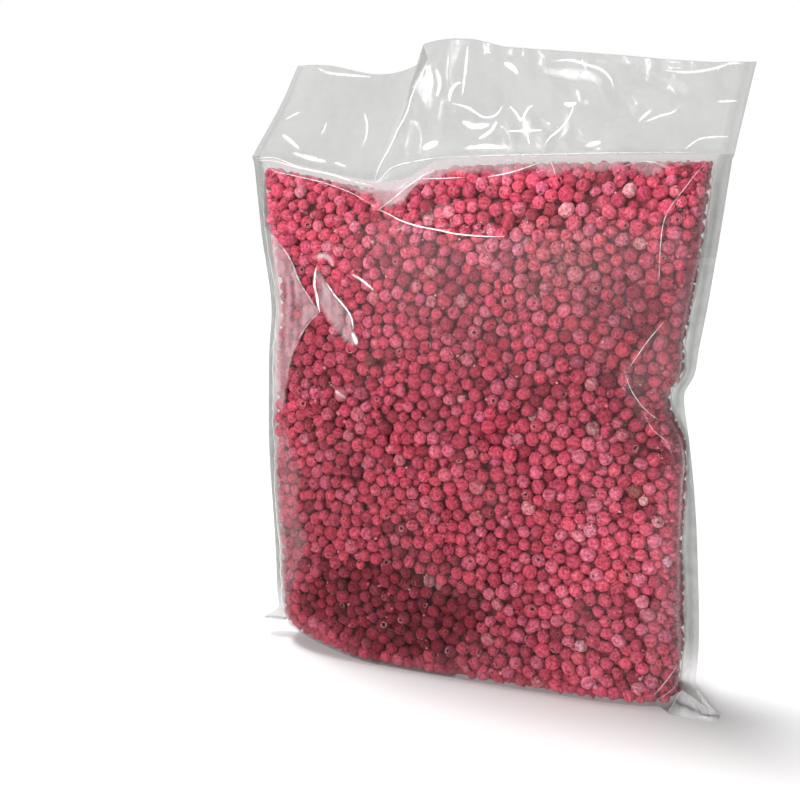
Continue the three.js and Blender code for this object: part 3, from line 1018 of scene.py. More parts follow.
class Container:
    """The room inside the film, as depths on a square lattice over x and height."""

    STEP = 1.5
    LOW = np.array((-145.0, 0.0))
    HIGH = np.array((145.0, 303.0))

    def __init__(self):
        self.shape = np.ceil((self.HIGH - self.LOW) / self.STEP).astype(int) + 1
        x = self.LOW[0] + self.STEP * np.arange(self.shape[0])
        z = self.LOW[1] + self.STEP * np.arange(self.shape[1])
        x, z = np.meshgrid(x, z, indexing="ij")
        self.layers = []
        for side in (-1, 1):
            depth = film_depth(x, z, side) - fill_gap(x, z, side)
            slope = np.gradient(depth, self.STEP)
            self.layers.append(np.stack((depth, slope[0], slope[1]), -1))

    def sample(self, layer, places):
        """A wall's depth and its slopes in x and height, between the lattice's points."""
        at = clamp((places - self.LOW) / self.STEP, 0, self.shape - 1.001)
        i = at.astype(int)
        s, t = (at - i).T[:, :, None]
        grid = self.layers[layer]
        a, b = grid[i[:, 0], i[:, 1]], grid[i[:, 0] + 1, i[:, 1]]
        c, d = grid[i[:, 0], i[:, 1] + 1], grid[i[:, 0] + 1, i[:, 1] + 1]
        return lerp(lerp(a, b, s), lerp(c, d, s), t)

    def walls(self, points):
        """For the front and the back: each point's distance to that wall and the way inwards."""
        found = []
        for layer, side in enumerate((-1, 1)):
            depth, slope_x, slope_z = self.sample(layer, points[:, [0, 2]]).T
            inward = np.stack((slope_x, np.full(len(points), -float(side)), slope_z), 1)
            length = np.linalg.norm(inward, axis=1)
            distance = (depth - side * points[:, 1]) / length
            found.append((distance, inward / length[:, None]))
        base = corner_lift(points[:, 0], points[:, 2]) + FILM_GAP
        upward = np.tile((0.0, 0.0, 1.0), (len(points), 1))
        found.append((points[:, 2] - base, upward))
        return found


def neighbour_pairs(points, reach):
    """All pairs of points closer than reach, found through a table of cells."""
    cell = np.floor((points - points.min(0)) / reach).astype(np.int64)
    size = cell.max(0) + 3
    key = ((cell[:, 0] + 1) * size[1] + cell[:, 1] + 1) * size[2] + cell[:, 2] + 1
    order = np.argsort(key, kind="stable")
    ordered = key[order]
    pairs = []
    for dx in (-1, 0, 1):
        for dy in (-1, 0, 1):
            start = key + (dx * size[1] + dy) * size[2] - 1
            first = np.searchsorted(ordered, start, "left")
            last = np.searchsorted(ordered, start + 2, "right")
            count = last - first
            a = np.repeat(np.arange(len(points)), count)
            offset = np.arange(count.sum()) - np.repeat(np.cumsum(count) - count, count)
            b = order[np.repeat(first, count) + offset]
            pairs.append(np.stack((a, b), 1)[a < b])
    pairs = np.concatenate(pairs)
    near = np.linalg.norm(points[pairs[:, 0]] - points[pairs[:, 1]], axis=1) < reach
    return pairs[near]


# The box that the first places are drawn from, their number, and the smallest and largest berry as
# a share of the usual one.
TRIAL_LOW, TRIAL_HIGH = np.array((-134.0, -30.0, 3.0)), np.array((136.0, 29.0, 300.0))
TRIALS = 60000
SMALLEST, LARGEST = 0.72, 1.24
# Berries touch at this share of their radii, move this share of an overlap a round, and drift to
# the film by up to DRIFT a round at first. RECOUNT rounds pass between two searches for neighbours.
SNUG, PUSH, DRIFT, RECOUNT, LONGEST_PUSH = 0.94, 0.8, 0.3, 5, 2.5


def settle(settings, container, film, rng):
    """Centres and radii of berries packed against the film, a few layers deep."""
    mean = settings.diameter / MM
    shell = settings.shell / MM
    trial = rng.uniform(TRIAL_LOW, TRIAL_HIGH, (TRIALS, 3))
    nearest = np.min([distance for distance, _ in container.walls(trial)], axis=0)
    inside = (nearest > 0.4 * mean) & (nearest < shell)
    room = np.prod(TRIAL_HIGH - TRIAL_LOW) * np.mean((nearest > 0) & (nearest < shell))
    count = int(settings.fill * room / (math.pi / 6 * mean ** 3))
    points = trial[inside][:count]
    diameter = rng.normal(mean, settings.spread / MM, len(points))
    radius = clamp(diameter, SMALLEST * mean, LARGEST * mean) / 2
    eager = rng.uniform(-0.35, 1, len(points))
    for step in range(settings.steps):
        if step % RECOUNT == 0:
            pairs = neighbour_pairs(points, 1.35 * mean)
            a, b = pairs.T
        apart = points[a] - points[b]
        distance = np.maximum(np.linalg.norm(apart, axis=1), 1e-6)
        overlap = np.maximum(SNUG * (radius[a] + radius[b]) - distance, 0)
        push = apart * (0.5 * overlap / distance)[:, None]
        move = np.stack([np.bincount(a, push[:, k], len(points)) - np.bincount(b, push[:, k], len(points))
                         for k in range(3)], 1)
        points = points + move * PUSH
        walls = container.walls(points)
        gaps = np.stack([distance for distance, _ in walls])
        nearest = gaps.min(0)
        ways = np.stack([way for _, way in walls])[gaps.argmin(0), np.arange(len(points))]
        calm = DRIFT * (1 - step / settings.steps)
        drift = calm * (nearest > radius + 0.15) * np.maximum(eager, 0)
        points = points - ways * drift[:, None]
        # the topmost ones rise to the seal and the lowest ones sink to the bottom
        points[:, 2] += calm * (smooth(points[:, 2], 270, 286) - smooth(26 - points[:, 2], 0, 16))
        for distance, way in container.walls(points):
            short = np.maximum(radius - distance, 0)
            points = points + way * np.minimum(short, LONGEST_PUSH)[:, None]
    return kept_inside(points, radius, film, container, mean)


# The gap between berry and film, the smallest share of the usual size that a berry may shrink
# to, and how far one moves at a time.
FILM_CLEARANCE = 0.45
SMALLEST_KEPT = 0.62
LONGEST_STEP = 1.5


def kept_inside(points, radius, film, container, mean):
    """Moves berries clear of the film, and shrinks or drops those that find no room."""
    tree = BVHTree.FromObject(film, bpy.context.evaluated_depsgraph_get())
    points, radius = points.copy(), radius.copy()
    room = np.full(len(points), 99.0)
    for last in (False, False, False, True):
        well_inside = np.min([distance for distance, _ in container.walls(points)], axis=0) > 1.0
        for k, point in enumerate(points):
            place, normal, _, _ = tree.find_nearest(Vector(point) * MM, 0.02)
            if place is None:
                continue
            offset = place / MM - Vector(point)
            way, gap = normal, offset.dot(normal)
            if (gap > 0 or well_inside[k]) and offset.length > 0.05:
                way, gap = offset.normalized(), offset.length
            room[k] = gap - FILM_CLEARANCE
            if room[k] < radius[k] and not last:
                points[k] -= np.array(way) * min(radius[k] - room[k], LONGEST_STEP)
    kept = room > SMALLEST_KEPT * mean / 2
    radius = np.minimum(radius, np.maximum(room, 0.1))
    return points[kept], radius[kept]


def point_tree(points):
    near = KDTree(len(points))
    for k, point in enumerate(points):
        near.insert(point, k)
    near.balance()
    return near


# A berry's mesh: its segments, and the polar angles of its rings, closer together at the scar.
BALL_SEGMENTS = 9
BALL_RINGS = (0.22, 0.5, 0.95, 1.5, 2.1, 2.7)


def ball(radius_at, segments=BALL_SEGMENTS, rings=BALL_RINGS):
    """A unit ball shaped by radius_at(polar angle, turn, direction), its faces and directions."""
    ways = [(0.0, 0.0, 1.0)]
    angles = [(0.0, 0.0)]
    for polar in rings:
        for k in range(segments):
            turn = 2 * math.pi * k / segments
            flat = math.sin(polar)
            ways.append((flat * math.cos(turn), flat * math.sin(turn), math.cos(polar)))
            angles.append((polar, turn))
    ways.append((0.0, 0.0, -1.0))
    angles.append((math.pi, 0.0))
    ways = np.array(ways)
    radii = np.array([radius_at(t, phi, way) for (t, phi), way in zip(angles, ways)])
    faces = []
    last = len(ways) - 1
    end = 1 + (len(rings) - 1) * segments
    for k in range(segments):
        n = (k + 1) % segments
        faces.append((0, 1 + k, 1 + n))
        for ring in range(len(rings) - 1):
            a, b = 1 + ring * segments, 1 + (ring + 1) * segments
            faces.append((a + k, b + k, b + n, a + n))
        faces.append((end + k, last, end + n))
    return ways * radii[:, None], faces, ways


def dent(way, centre, reach, depth):
    """How deep a round dent about a centre is in one direction."""
    centre = np.array(centre) / np.linalg.norm(centre)
    return depth * math.exp(-0.5 * (math.acos(clamp(float(way @ centre), -1, 1)) / reach) ** 2)


def whole_berry(t, phi, way):
    """A ball, a little drawn in at both ends."""
    return 1 - 0.16 * math.exp(-(t / 0.25) ** 2) - 0.08 * math.exp(-((math.pi - t) / 0.3) ** 2)


def scarred_berry(t, phi, way):
    """One end sunk into a round scar with a raised rim."""
    rim = 0.07 * math.exp(-((t - 0.45) / 0.2) ** 2) * (1 + 0.4 * math.cos(5 * phi))
    return 1 - 0.5 * math.exp(-(t / 0.28) ** 2) + rim


def dented_berry(t, phi, way):
    """A berry with two dents in its side."""
    dents = dent(way, (1, 0.2, 0.4), 0.55, 0.4) + dent(way, (-0.5, -1, 0.1), 0.5, 0.3)
    return 1.05 - dents - 0.12 * math.exp(-(t / 0.25) ** 2)


def wrinkled_berry(t, phi, way):
    """A berry that shrank into soft folds."""
    folds = 0.13 * math.cos(4 * phi) * math.sin(t) ** 2 + 0.08 * math.cos(3 * phi + 4 * t)
    return 0.99 + folds - 0.22 * math.exp(-(t / 0.3) ** 2)


def torn_berry(t, phi, way):
    """A wide ragged opening that shows the hollow inside."""
    ragged = 0.6 + 0.14 * math.cos(3 * phi)
    return 1.0 if t > ragged else 0.5


# Depth and size of the lumps that make every skin uneven.
UNEVENNESS, LUMP_SIZE = 1.25, 3.2

# Each kind: its shape, its share of all berries, its size against the usual one, and its scar.
BERRY_KINDS = (
    ("whole_a", whole_berry, 0.21, 1.0, 0.2),
    ("whole_b", whole_berry, 0.20, 1.0, 0.5),
    ("scarred", scarred_berry, 0.15, 1.0, 1.0),
    ("dented", dented_berry, 0.20, 1.01, 0.3),
    ("wrinkled", wrinkled_berry, 0.20, 0.99, 0.4),
    ("torn", torn_berry, 0.04, 0.97, 0.9),
)


def scatter_tree():
    """Sets a copy of a berry on every point, by its size, turn and tint, and roughens each skin."""
    grow = Growth("berry_scatter", (("Berry", "Object", None), ("Unevenness", "Float", UNEVENNESS * MM),
                                    ("Lump size", "Float", LUMP_SIZE * MM)))
    berry = grow.node("GeometryNodeObjectInfo", {}, {"Object": grow.given("Berry")}, "Geometry")
    turn = grow.node("FunctionNodeEulerToRotation", {}, [grow.named("turn")])
    inputs = {"Points": grow.given("Geometry"), "Instance": berry, "Rotation": turn,
              "Scale": grow.named("size")}
    copies = grow.real(grow.node("GeometryNodeInstanceOnPoints", {}, inputs))
    lumps = grow.node("ShaderNodeTexNoise", {}, {"Scale": 1.0 / grow.given("Lump size"), "Detail": 1.0},
                      "Color")
    centred = grow.node("ShaderNodeVectorMath", {"operation": "SUBTRACT"}, [lumps, (0.5, 0.5, 0.5)])
    inputs = {0: centred, "Scale": grow.given("Unevenness")}
    shift = grow.node("ShaderNodeVectorMath", {"operation": "SCALE"}, inputs)
    return grow.coated(grow.node("GeometryNodeSetPosition", {}, {"Geometry": copies, "Offset": shift}))


def scattered(name, tree, inputs, points, size, turn, tint):
    """The mesh of one piece, from each copy's place, size, turn and tint."""
    carrier = line_object(name + "_places", points, [])
    add_vector(carrier, "size", size * MM)
    add_vector(carrier, "turn", turn)
    add_colour(carrier, "tint", tint)
    return grown(name, carrier, tree, inputs)


# Colours that part of the berries have instead of the usual one: up to which draw, and the colour.
TINTS = (
    (0.03, (0.62, 0.13, 0.19)),
    (0.04, (0.60, 0.18, 0.23)),
    (0.25, (0.62, 0.095, 0.165)),
    (0.45, (0.46, 0.038, 0.08)),
    (0.53, (0.30, 0.022, 0.045)),
    (0.535, (0.24, 0.05, 0.05)),
)
# Patches of the front, as (x, height, reach): a brownish one near the top and a darker one on the right.
DUSKY_PATCH, DUSKY_TINT = (62, 244, 17), np.array((0.32, 0.11, 0.11))
DEEP_RIGHT_PATCH = (97, 225, 12)
# What the darker patches leave of a berry's colour, the one where the film clings being painted shade,
# and how a berry's colour rises where it is lightened: painted light near the top, and lighter berries
# towards the lower right.
DEEP_SHARE, LIGHTEN_RISE = np.array((0.48, 0.22, 0.30)), np.array((1.0, 1.7, 1.5))
TOP_PAINTED_LIGHT, LOW_RIGHT_LIGHTER, LESS_LIGHTENED = 0.3, 0.45, 0.04

# Small berries for the gaps at the edges: trials at each edge, how far in, and their radii.
PIECE_TRIALS, PIECE_ZONE = 7000, 10.0
PIECE_RADIUS = (1.1, 3.2)


def with_pieces(container, film, points, radius, rng):
    """The berries, and small ones in the gaps along the seams, the seal and the bottom."""
    low, high = (-134.0, -30.0, 1.2), (136.0, 30.0, 302.0)
    by_bottom, by_top, by_left, by_right = rng.uniform(low, high, (4, PIECE_TRIALS, 3))
    reach = rng.uniform(1.0, PIECE_ZONE, (4, PIECE_TRIALS))
    by_bottom[:, 2] = reach[0] + 0.3
    by_top[:, 2] = through(FILL_TOP, by_top[:, 0]) - reach[1]
    by_left[:, 0] = fill_sides(by_left[:, 2])[0] + reach[2]
    by_right[:, 0] = fill_sides(by_right[:, 2])[1] - reach[3]
    trial = np.concatenate((by_bottom, by_top, by_left, by_right))
    room = np.min([distance for distance, _ in container.walls(trial)], axis=0)
    trial = trial[room > PIECE_RADIUS[0]]
    near = point_tree(points)
    places, sizes = np.zeros((0, 3)), np.zeros(0)
    for place in trial:
        _, index, distance = near.find(place)
        free = min(distance - 0.85 * radius[index], PIECE_RADIUS[1])
        if free < PIECE_RADIUS[0]:
            continue
        if np.all(np.linalg.norm(places - place, axis=1) > 0.9 * (sizes + free)):
            places, sizes = np.vstack((places, place)), np.append(sizes, free)
    places, sizes = kept_inside(places, sizes, film, container, 2 * PIECE_RADIUS[0])
    return np.vstack((points, places)), np.concatenate((radius, sizes))


def berry_tints(settings, points, rng):
    """A colour for each berry: dusty crimson, with paler, bright, dark and brownish ones, painted shade
    where the film clings and painted light near the top.
    """
    count = len(points)
    tint = np.tile(settings.skin, (count, 1))
    draw = rng.uniform(0, 1, count)
    low = 0.0
    for high, colour in TINTS:
        tint[(draw >= low) & (draw < high)] = colour
        low = high
    tint = tint * rng.normal(1, 0.09, (count, 1)) * rng.normal(1, 0.04, (count, 3))
    x, y, z = points.T
    tint = tint * (1 + 0.12 * Noise(71)(x / 40, z / 46))[:, None]
    front = y < 0
    dusky = bell(np.hypot(x - DUSKY_PATCH[0], 1.3 * (z - DUSKY_PATCH[1])), DUSKY_PATCH[2]) * front
    tint = lerp(tint, DUSKY_TINT, 0.5 * dusky[:, None])
    # painted shade: berries behind the clinging film are darkened, and those in the patch on the right
    # are darker too
    right = bell(np.hypot(x - DEEP_RIGHT_PATCH[0], 0.7 * (z - DEEP_RIGHT_PATCH[1])), DEEP_RIGHT_PATCH[2])
    deep = np.maximum(cling(x, z), 0.6 * right) * front
    tint = tint * lerp(1.0, DEEP_SHARE, deep[:, None])
    # painted light: berries near the top are lighter, where more light falls from above; those towards
    # the lower right are lighter too
    low_right = smooth(x, 40, 80) * (1 - smooth(z, 110, 180))
    lightened = TOP_PAINTED_LIGHT * smooth(z, 215, 265) + LOW_RIGHT_LIGHTER * low_right - LESS_LIGHTENED
    tint = tint * (1 + lightened[:, None] * LIGHTEN_RISE)
    return clamp(tint, 0.004, 0.9)


# Room under the lowest berries for the lumps of their skin.
FLOOR_CLEARANCE = 0.9


def make_berries(settings, film):
    """One piece for each kind of berry; also gives what the crumbs are placed by."""
    rng = np.random.default_rng(settings.seed)
    container = Container()
    points, radius = settle(settings, container, film, rng)
    points, radius = with_pieces(container, film, points, radius, rng)
    points[:, 2] = np.maximum(points[:, 2], radius + FLOOR_CLEARANCE)
    tint = berry_tints(settings, points, rng)
    turn = rng.uniform(0, 2 * math.pi, (len(points), 3))
    shape = clamp(rng.normal(0.985, 0.04, (len(points), 3)), 0.85, 1.03)
    skin = berry_finish()
    tree = scatter_tree()
    draw = rng.uniform(0, 1, len(points))
    start = 0.0
    for name, radius_at, share, scale, scar in BERRY_KINDS:
        chosen = (draw >= start) & (draw < start + share)
        start += share
        vertices, faces, ways = ball(radius_at)
        pattern = new_object("pattern_" + name, vertices / MM, faces)
        add_vector(pattern, "local", ways)
        add_number(pattern, "scar", np.full(len(ways), scar))
        size = (radius[:, None] * scale * shape)[chosen]
        piece = scattered("berries_" + name, tree, {"Berry": pattern, "Finish": skin},
                          points[chosen], size, turn[chosen], tint[chosen])
        bpy.data.objects.remove(pattern)
        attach(piece, BODY)
    return tree, points, radius, rng


# Colours of the crumbs and how often each is drawn; the brown one is that of the seeds.
CRUMB_TINTS = ((0.50, 0.06, 0.10), (0.64, 0.24, 0.28), (0.60, 0.13, 0.18), (0.35, 0.18, 0.10))
CRUMB_SHARES = (0.42, 0.18, 0.3, 0.1)
CRUMB_LOW, CRUMB_HIGH = (-120, 4), (124, 285)
CRUMB_TRIALS, CRUMBS_IN_FRONT, CRUMB_SIDE_GAP, CRUMB_UNEVENNESS = 14, 0.7, 8, 0.4


def crumb_shape(t, phi, way):
    return 1 + 0.2 * math.sin(3 * phi + 2 * t)


def make_crumbs(settings, tree, points, radius, rng):
    """Crumbs of pulp and a few seeds, caught in the gaps right behind the film."""
    count = settings.crumbs * CRUMB_TRIALS
    x, z = (rng.uniform(low, high, count) for low, high in zip(CRUMB_LOW, CRUMB_HIGH))
    side = np.where(rng.uniform(0, 1, count) < CRUMBS_IN_FRONT, -1, 1)
    depth = np.where(side < 0, film_depth(x, z, -1), film_depth(x, z, 1))
    behind = rng.uniform(1.0, 3.2, count)
    left, right = fill_sides(z)
    clear = (depth > 9) & (x > left + CRUMB_SIDE_GAP) & (x < right - CRUMB_SIDE_GAP)
    places = np.stack((x, side * (depth - behind), z), 1)[clear]
    near = point_tree(points)
    size = rng.uniform(0.3, 1.0, len(places)) ** 1.5 + 0.15
    free = []
    for place in places:
        _, index, distance = near.find(place)
        free.append(radius[index] - 0.2 < distance < radius[index] + 1.4)
    chosen = np.flatnonzero(free)[:settings.crumbs]
    vertices, faces, _ = ball(crumb_shape, 5, (0.8, 1.7, 2.5))
    pattern = new_object("pattern_crumb", vertices / MM, faces)
    shape = rng.uniform(0.6, 1.3, (len(chosen), 3))
    tint = np.array(CRUMB_TINTS)[rng.choice(len(CRUMB_TINTS), len(chosen), p=CRUMB_SHARES)]
    turn = rng.uniform(0, 2 * math.pi, (len(chosen), 3))
    inputs = {"Berry": pattern, "Finish": crumb_finish(), "Unevenness": CRUMB_UNEVENNESS * MM}
    piece = scattered("crumbs", tree, inputs, places[chosen], size[chosen, None] * shape, turn, tint)
    bpy.data.objects.remove(pattern)
    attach(piece, BODY)


# The core: how far it stays behind the shell's depth, its lowest and highest row, how far it stays
# behind the film at the bottom, its gaps to the seams, and its lumps.
CORE_OVERLAP, CORE_LOW, CORE_HIGH, CORE_BOTTOM_INSET = 8.0, 0.8, 289.0, 2.4
CORE_GAPS, CORE_LUMP, CORE_LUMP_SIZE, CORE_LEAST = (6, 5), 1.6, 6.5, 0.4


def make_core(settings):
    """One lumpy solid inside the loose berries, so that nothing shows through the fill."""
    inset = settings.shell / MM - CORE_OVERLAP
    across = np.linspace(-1, 1, 70)
    height = np.concatenate((np.linspace(CORE_LOW, 14, 7), np.linspace(17.5, CORE_HIGH, 78)))
    bumps = Noise(83)
    sheets = []
    for side in (-1, 1):
        a, h = np.meshgrid(across, height)
        left, right = fill_sides(h)
        x = lerp(left + CORE_GAPS[0], right - CORE_GAPS[1], (a + 1) / 2)
        z = h + row_dip(x, h) + corner_lift(x, h)
        room = film_depth(x, z, side) - fill_gap(x, z, side)
        room = room - lerp(CORE_BOTTOM_INSET, inset, smooth(h, 3, 16))
        lumps = CORE_LUMP * smooth(h, 4, 16) * bumps(x / CORE_LUMP_SIZE, z / CORE_LUMP_SIZE + 50 * side)
        ends = np.minimum(smooth(h, CORE_LOW, 2.2), smooth(CORE_HIGH - h, 0, 14))
        ends = ends * smooth(1 - np.abs(a), 0, 0.1)
        sheets.append(np.stack((x, side * np.maximum((room + lumps) * ends, CORE_LEAST), z), -1))
    vertices = np.concatenate([sheet.reshape(-1, 3) for sheet in sheets])
    made = new_object("fill_core", vertices, pillow_faces(len(height), len(across)))
    made.data.materials.append(core_finish())
    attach(made, BODY)


# ---- Creases ----------------------------------------------------------------------------------

# Bright sharp folds of the front film, drawn as cords of painted glare: path as (x, height), radius,
# shine.
FRONT_CREASES = (
    (((-47, 271), (-38, 268), (-32, 265.5), (-19, 262), (-7, 260), (4, 258), (19, 257), (30, 257)),
     0.42, 0.95),
    (((-134, 301), (-121, 294), (-107, 291), (-88, 287), (-68, 281), (-54, 275), (-47, 271)), 0.22, 0.5),
    (((-47, 271), (-40, 277), (-32, 283), (-24, 289), (-18, 292)), 0.30, 0.6),
    (((-138, 301), (-125, 300), (-107, 295.5), (-87, 291.5), (-73, 287.5), (-60, 285)), 0.26, 0.55),
    (((130, 296), (121, 282), (113, 268), (111, 250), (111, 232)), 0.22, 0.45),
    (((114, 214), (106, 203), (98, 190)), 0.22, 0.6),
    (((95, 188), (99, 176), (105, 167), (113, 160)), 0.22, 0.45),
    (((105, 165), (110, 156), (117, 150), (121, 142)), 0.2, 0.3),
    (((128, 24), (122, 15), (117, 8)), 0.22, 0.55),
    (((133, 20), (127, 11), (118, 5)), 0.2, 0.45),
    (((-24, 288), (-8, 288), (4, 288.5)), 0.26, 0.5),
    (((16, 288.5), (30, 291), (40, 295), (46, 298)), 0.3, 0.8),
    (((47, 298), (51, 294), (54, 289)), 0.22, 0.5),
    (((88, 293), (98, 296), (108, 294)), 0.22, 0.5),
)
FLAP_CREASES = (
    (((-30, 299.5), (-12, 300.5), (17, 301), (51, 301), (84, 301), (125, 300.5)), 0.26, 0.5),
    (((-27, 352), (-36, 335), (-39, 326), (-46, 315), (-53, 304), (-57, 297), (-59, 288)), 0.4, 0.9),
    (((-57, 287), (-54, 290), (-48, 295), (-36, 298), (-22, 300)), 0.3, 0.6),
    (((-138, 302), (-125, 302), (-107, 296), (-87, 292), (-73, 288), (-60, 285)), 0.3, 0.6),
)

# Painted soft glare on bent places of the film: path as (x, height), half width, shine.
GLEAMS = (
    (((-26, 352), (-25, 343), (-26, 337), (-28, 331)), 3.2, 0.95),
    (((-21, 350), (-18, 341), (-20, 333)), 1.8, 0.7),
    (((-29, 305), (-24, 307), (-18, 309)), 2.4, 0.85),
    (((-12, 330), (-11, 336), (-8, 340), (-5, 341)), 1.3, 0.9),
    (((-2, 361), (-3, 349), (-5, 333)), 1.0, 0.8),
    (((-11, 330), (-1, 327), (7, 322), (14, 323), (18, 329)), 0.9, 1.0),
    (((-5, 320), (2, 317), (11, 318)), 2.2, 0.85),
    (((4, 310), (11, 314), (15, 320)), 1.5, 0.85),
    (((-4, 305), (8, 306), (21, 305)), 1.7, 0.85),
    (((18, 351), (23, 348), (27, 344)), 1.9, 0.85),
    (((46, 350), (56, 350), (65, 347), (73, 344), (78, 339), (80, 333)), 0.9, 0.85),
    (((42, 345), (56, 343), (67, 341), (74, 337)), 3.4, 0.4),
    (((21, 328), (25, 324), (28, 320), (32, 326), (35, 328)), 1.0, 0.85),
    (((21, 314), (31, 314), (41, 314)), 0.9, 0.9),
    (((32, 313), (33, 309), (34, 306)), 0.6, 0.7),
    (((52, 328), (56, 327), (60, 328)), 1.5, 0.9),
    (((58, 327), (56, 322), (51, 315), (45, 310), (42, 305)), 0.8, 0.9),
    (((53, 323), (54, 316), (51, 309)), 1.8, 0.4),
    (((64, 305), (69, 306), (74, 307)), 1.7, 0.85),
    (((93, 316), (97, 320), (101, 323)), 1.1, 0.6),
    (((96, 316), (104, 319), (112, 321), (116, 325)), 0.9, 0.5),
    (((117, 301.5), (120, 304), (125, 307), (133, 308), (140, 308)), 0.7, 0.8),
    (((106, 342), (119, 340), (131, 341), (140, 343), (147, 342)), 0.9, 0.6),
    (((133, 325), (139, 325), (144, 325)), 0.8, 0.6),
    (((-116, 359), (-106, 355), (-93, 353), (-76, 351)), 1.1, 0.75),
    (((-130, 326), (-124, 329), (-118, 331)), 1.0, 0.45),
    (((-75, 329), (-71, 321), (-70, 314), (-71, 308)), 1.1, 0.45),
    (((-127, 317), (-120, 313), (-111, 307)), 1.4, 0.8),
    (((-115, 305), (-104, 302), (-91, 299)), 1.6, 0.8),
    (((-87, 299), (-78, 296)), 0.9, 0.7),
    (((-99, 324), (-99, 320), (-100, 315)), 1.0, 0.4),
    (((-86, 239), (-88, 228), (-86, 219), (-84, 211)), 1.0, 1.0),
    (((-80, 230), (-74, 223), (-67, 217), (-62, 211), (-60, 203)), 0.8, 0.9),
    (((-61, 202), (-59, 198), (-58, 194)), 1.7, 0.9),
    (((-89, 243), (-82, 245), (-76, 243), (-74, 238)), 2.2, 0.28),
    (((-61, 235), (-55, 232), (-46, 226)), 1.1, 0.8),
    (((-73, 167), (-66, 163)), 1.5, 0.5),
    (((-117, 256), (-106, 245), (-99, 229), (-91, 219), (-85, 212)), 0.7, 0.4),
    (((-85, 212), (-91, 206), (-97, 198), (-101, 189)), 0.6, 0.3),
    (((125.8, 1.2), (127.6, 3.8), (131.1, 6.5)), 0.6, 0.7),
    (((129.1, 6.1), (135.5, 4.3), (143.8, 0.9)), 0.6, 0.6),
    (((137.8, 1.8), (142.2, 1.1), (148, 1.3)), 0.5, 0.6),
    (((140.6, 4.5), (143.7, 1.2), (143.3, 1)), 0.5, 0.5),
)
# Places of a gleam's points across its strip, and how far its two sides float over the film.
GLEAM_ACROSS = np.array((-1.0, -0.65, -0.35, 0.0, 0.35, 0.65, 1.0))
GLEAM_TOP, GLEAM_UNDERSIDE, CREASE_FLOAT, GLEAM_LOWEST = 0.16, 0.08, 0.1, 0.05
VIEW_FROM = -200.0


def path_points(path, step=1.6):
    """A rounded line through the path's points, in even steps."""
    path = np.array(path, float)
    places = np.concatenate(([0], np.cumsum(np.hypot(*np.diff(path, axis=0).T))))
    at = np.linspace(0, places[-1], max(5, int(places[-1] / step)))
    return np.stack([through(list(zip(places, path[:, k])), at) for k in (0, 1)], 1)


def crease_tree():
    """Turns each line of points into a thin tapered cord, by its `thick`."""
    grow = Growth("crease_cords", (("Sides", "Int", 5),))
    line = grow.node("GeometryNodeMeshToCurve", {}, [grow.given("Geometry")])
    inputs = {"Resolution": grow.given("Sides"), "Radius": 1.0}
    circle = grow.node("GeometryNodeCurvePrimitiveCircle", {}, inputs)
    inputs = {"Curve": line, "Profile Curve": circle, "Scale": grow.named("thick", "FLOAT"),
              "Fill Caps": True}
    return grow.coated(grow.real(grow.node("GeometryNodeCurveToMesh", {}, inputs)))


def seen_on(tree, x, z):
    """The place and normal of the film's front at (x, height), or Nones where there is no film."""
    return tree.ray_cast(Vector((x, VIEW_FROM, z)) * MM, Vector((0, 1, 0)))[:2]


def make_creases(settings, film):
    """Thin cords of painted glare along the film's sharp folds."""
    tree = BVHTree.FromObject(film, bpy.context.evaluated_depsgraph_get())
    points, edges, thick, shine = [], [], [], []
    for path, radius, bright in FRONT_CREASES + FLAP_CREASES:
        line = []
        for x, z in path_points(path):
            place, normal = seen_on(tree, x, z)
            if place is not None:
                line.append(np.array(place + normal * CREASE_FLOAT * MM) / MM)
        if len(line) < 3:
            raise RuntimeError("a crease lies off the film")
        taper = np.sin(math.pi * (np.arange(len(line)) + 0.4) / (len(line) - 0.2)) ** 0.6
        edges += [(len(points) + k, len(points) + k + 1) for k in range(len(line) - 1)]
        points += line
        thick += list(radius * settings.crease * taper)
        shine += [bright] * len(line)
    carrier = line_object("film_creases_lines", points, edges)
    add_number(carrier, "thick", np.array(thick) * MM)
    add_number(carrier, "shine", shine)
    finish = shine_finish("film_crease", 3.5)
    made = grown("film_creases", carrier, crease_tree(), {"Finish": finish})
    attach(made, BODY)


def make_gleams(settings, film):
    """Thin closed strips of painted glare just over the film, brightest along their middle."""
    tree = BVHTree.FromObject(film, bpy.context.evaluated_depsgraph_get())
    columns = len(GLEAM_ACROSS)
    vertices, faces, shine = [], [], []
    for path, half, bright in GLEAMS:
        line = path_points(path, 1.0)
        way = np.gradient(line, axis=0)
        way = way / np.linalg.norm(way, axis=1, keepdims=True)
        aside = np.stack((way[:, 1], -way[:, 0]), 1)
        taper = np.sin(math.pi * np.linspace(0, 1, len(line))) ** 0.5
        spread = half * (0.35 + 0.65 * taper)
        places = line[:, None] + (spread[:, None] * GLEAM_ACROSS)[..., None] * aside[:, None]
        over, under = [], []
        for x, z in places.reshape(-1, 2):
            place, normal = seen_on(tree, x, z)
            if place is None:
                place, normal, _, _ = tree.find_nearest(Vector((x, 0, z)) * MM)
            over.append((place + normal * GLEAM_TOP * MM) / MM)
            under.append((place + normal * GLEAM_UNDERSIDE * MM) / MM)
        faces.append(pillow_faces(len(line), columns) + len(vertices))
        vertices += over + under
        strength = bright * settings.gleam * taper[:, None] * (1 - GLEAM_ACROSS ** 2) ** 1.5
        shine += [*strength.ravel(), *np.zeros(strength.size)]
    vertices = np.array(vertices)
    vertices[:, 2] = np.maximum(vertices[:, 2], GLEAM_LOWEST)
    made = new_object("film_gleams", vertices, np.concatenate(faces))
    add_number(made, "shine", shine)
    made.data.materials.append(shine_finish("film_gleam", 5.0))
    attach(made, BODY)


# ---- Operators --------------------------------------------------------------------------------

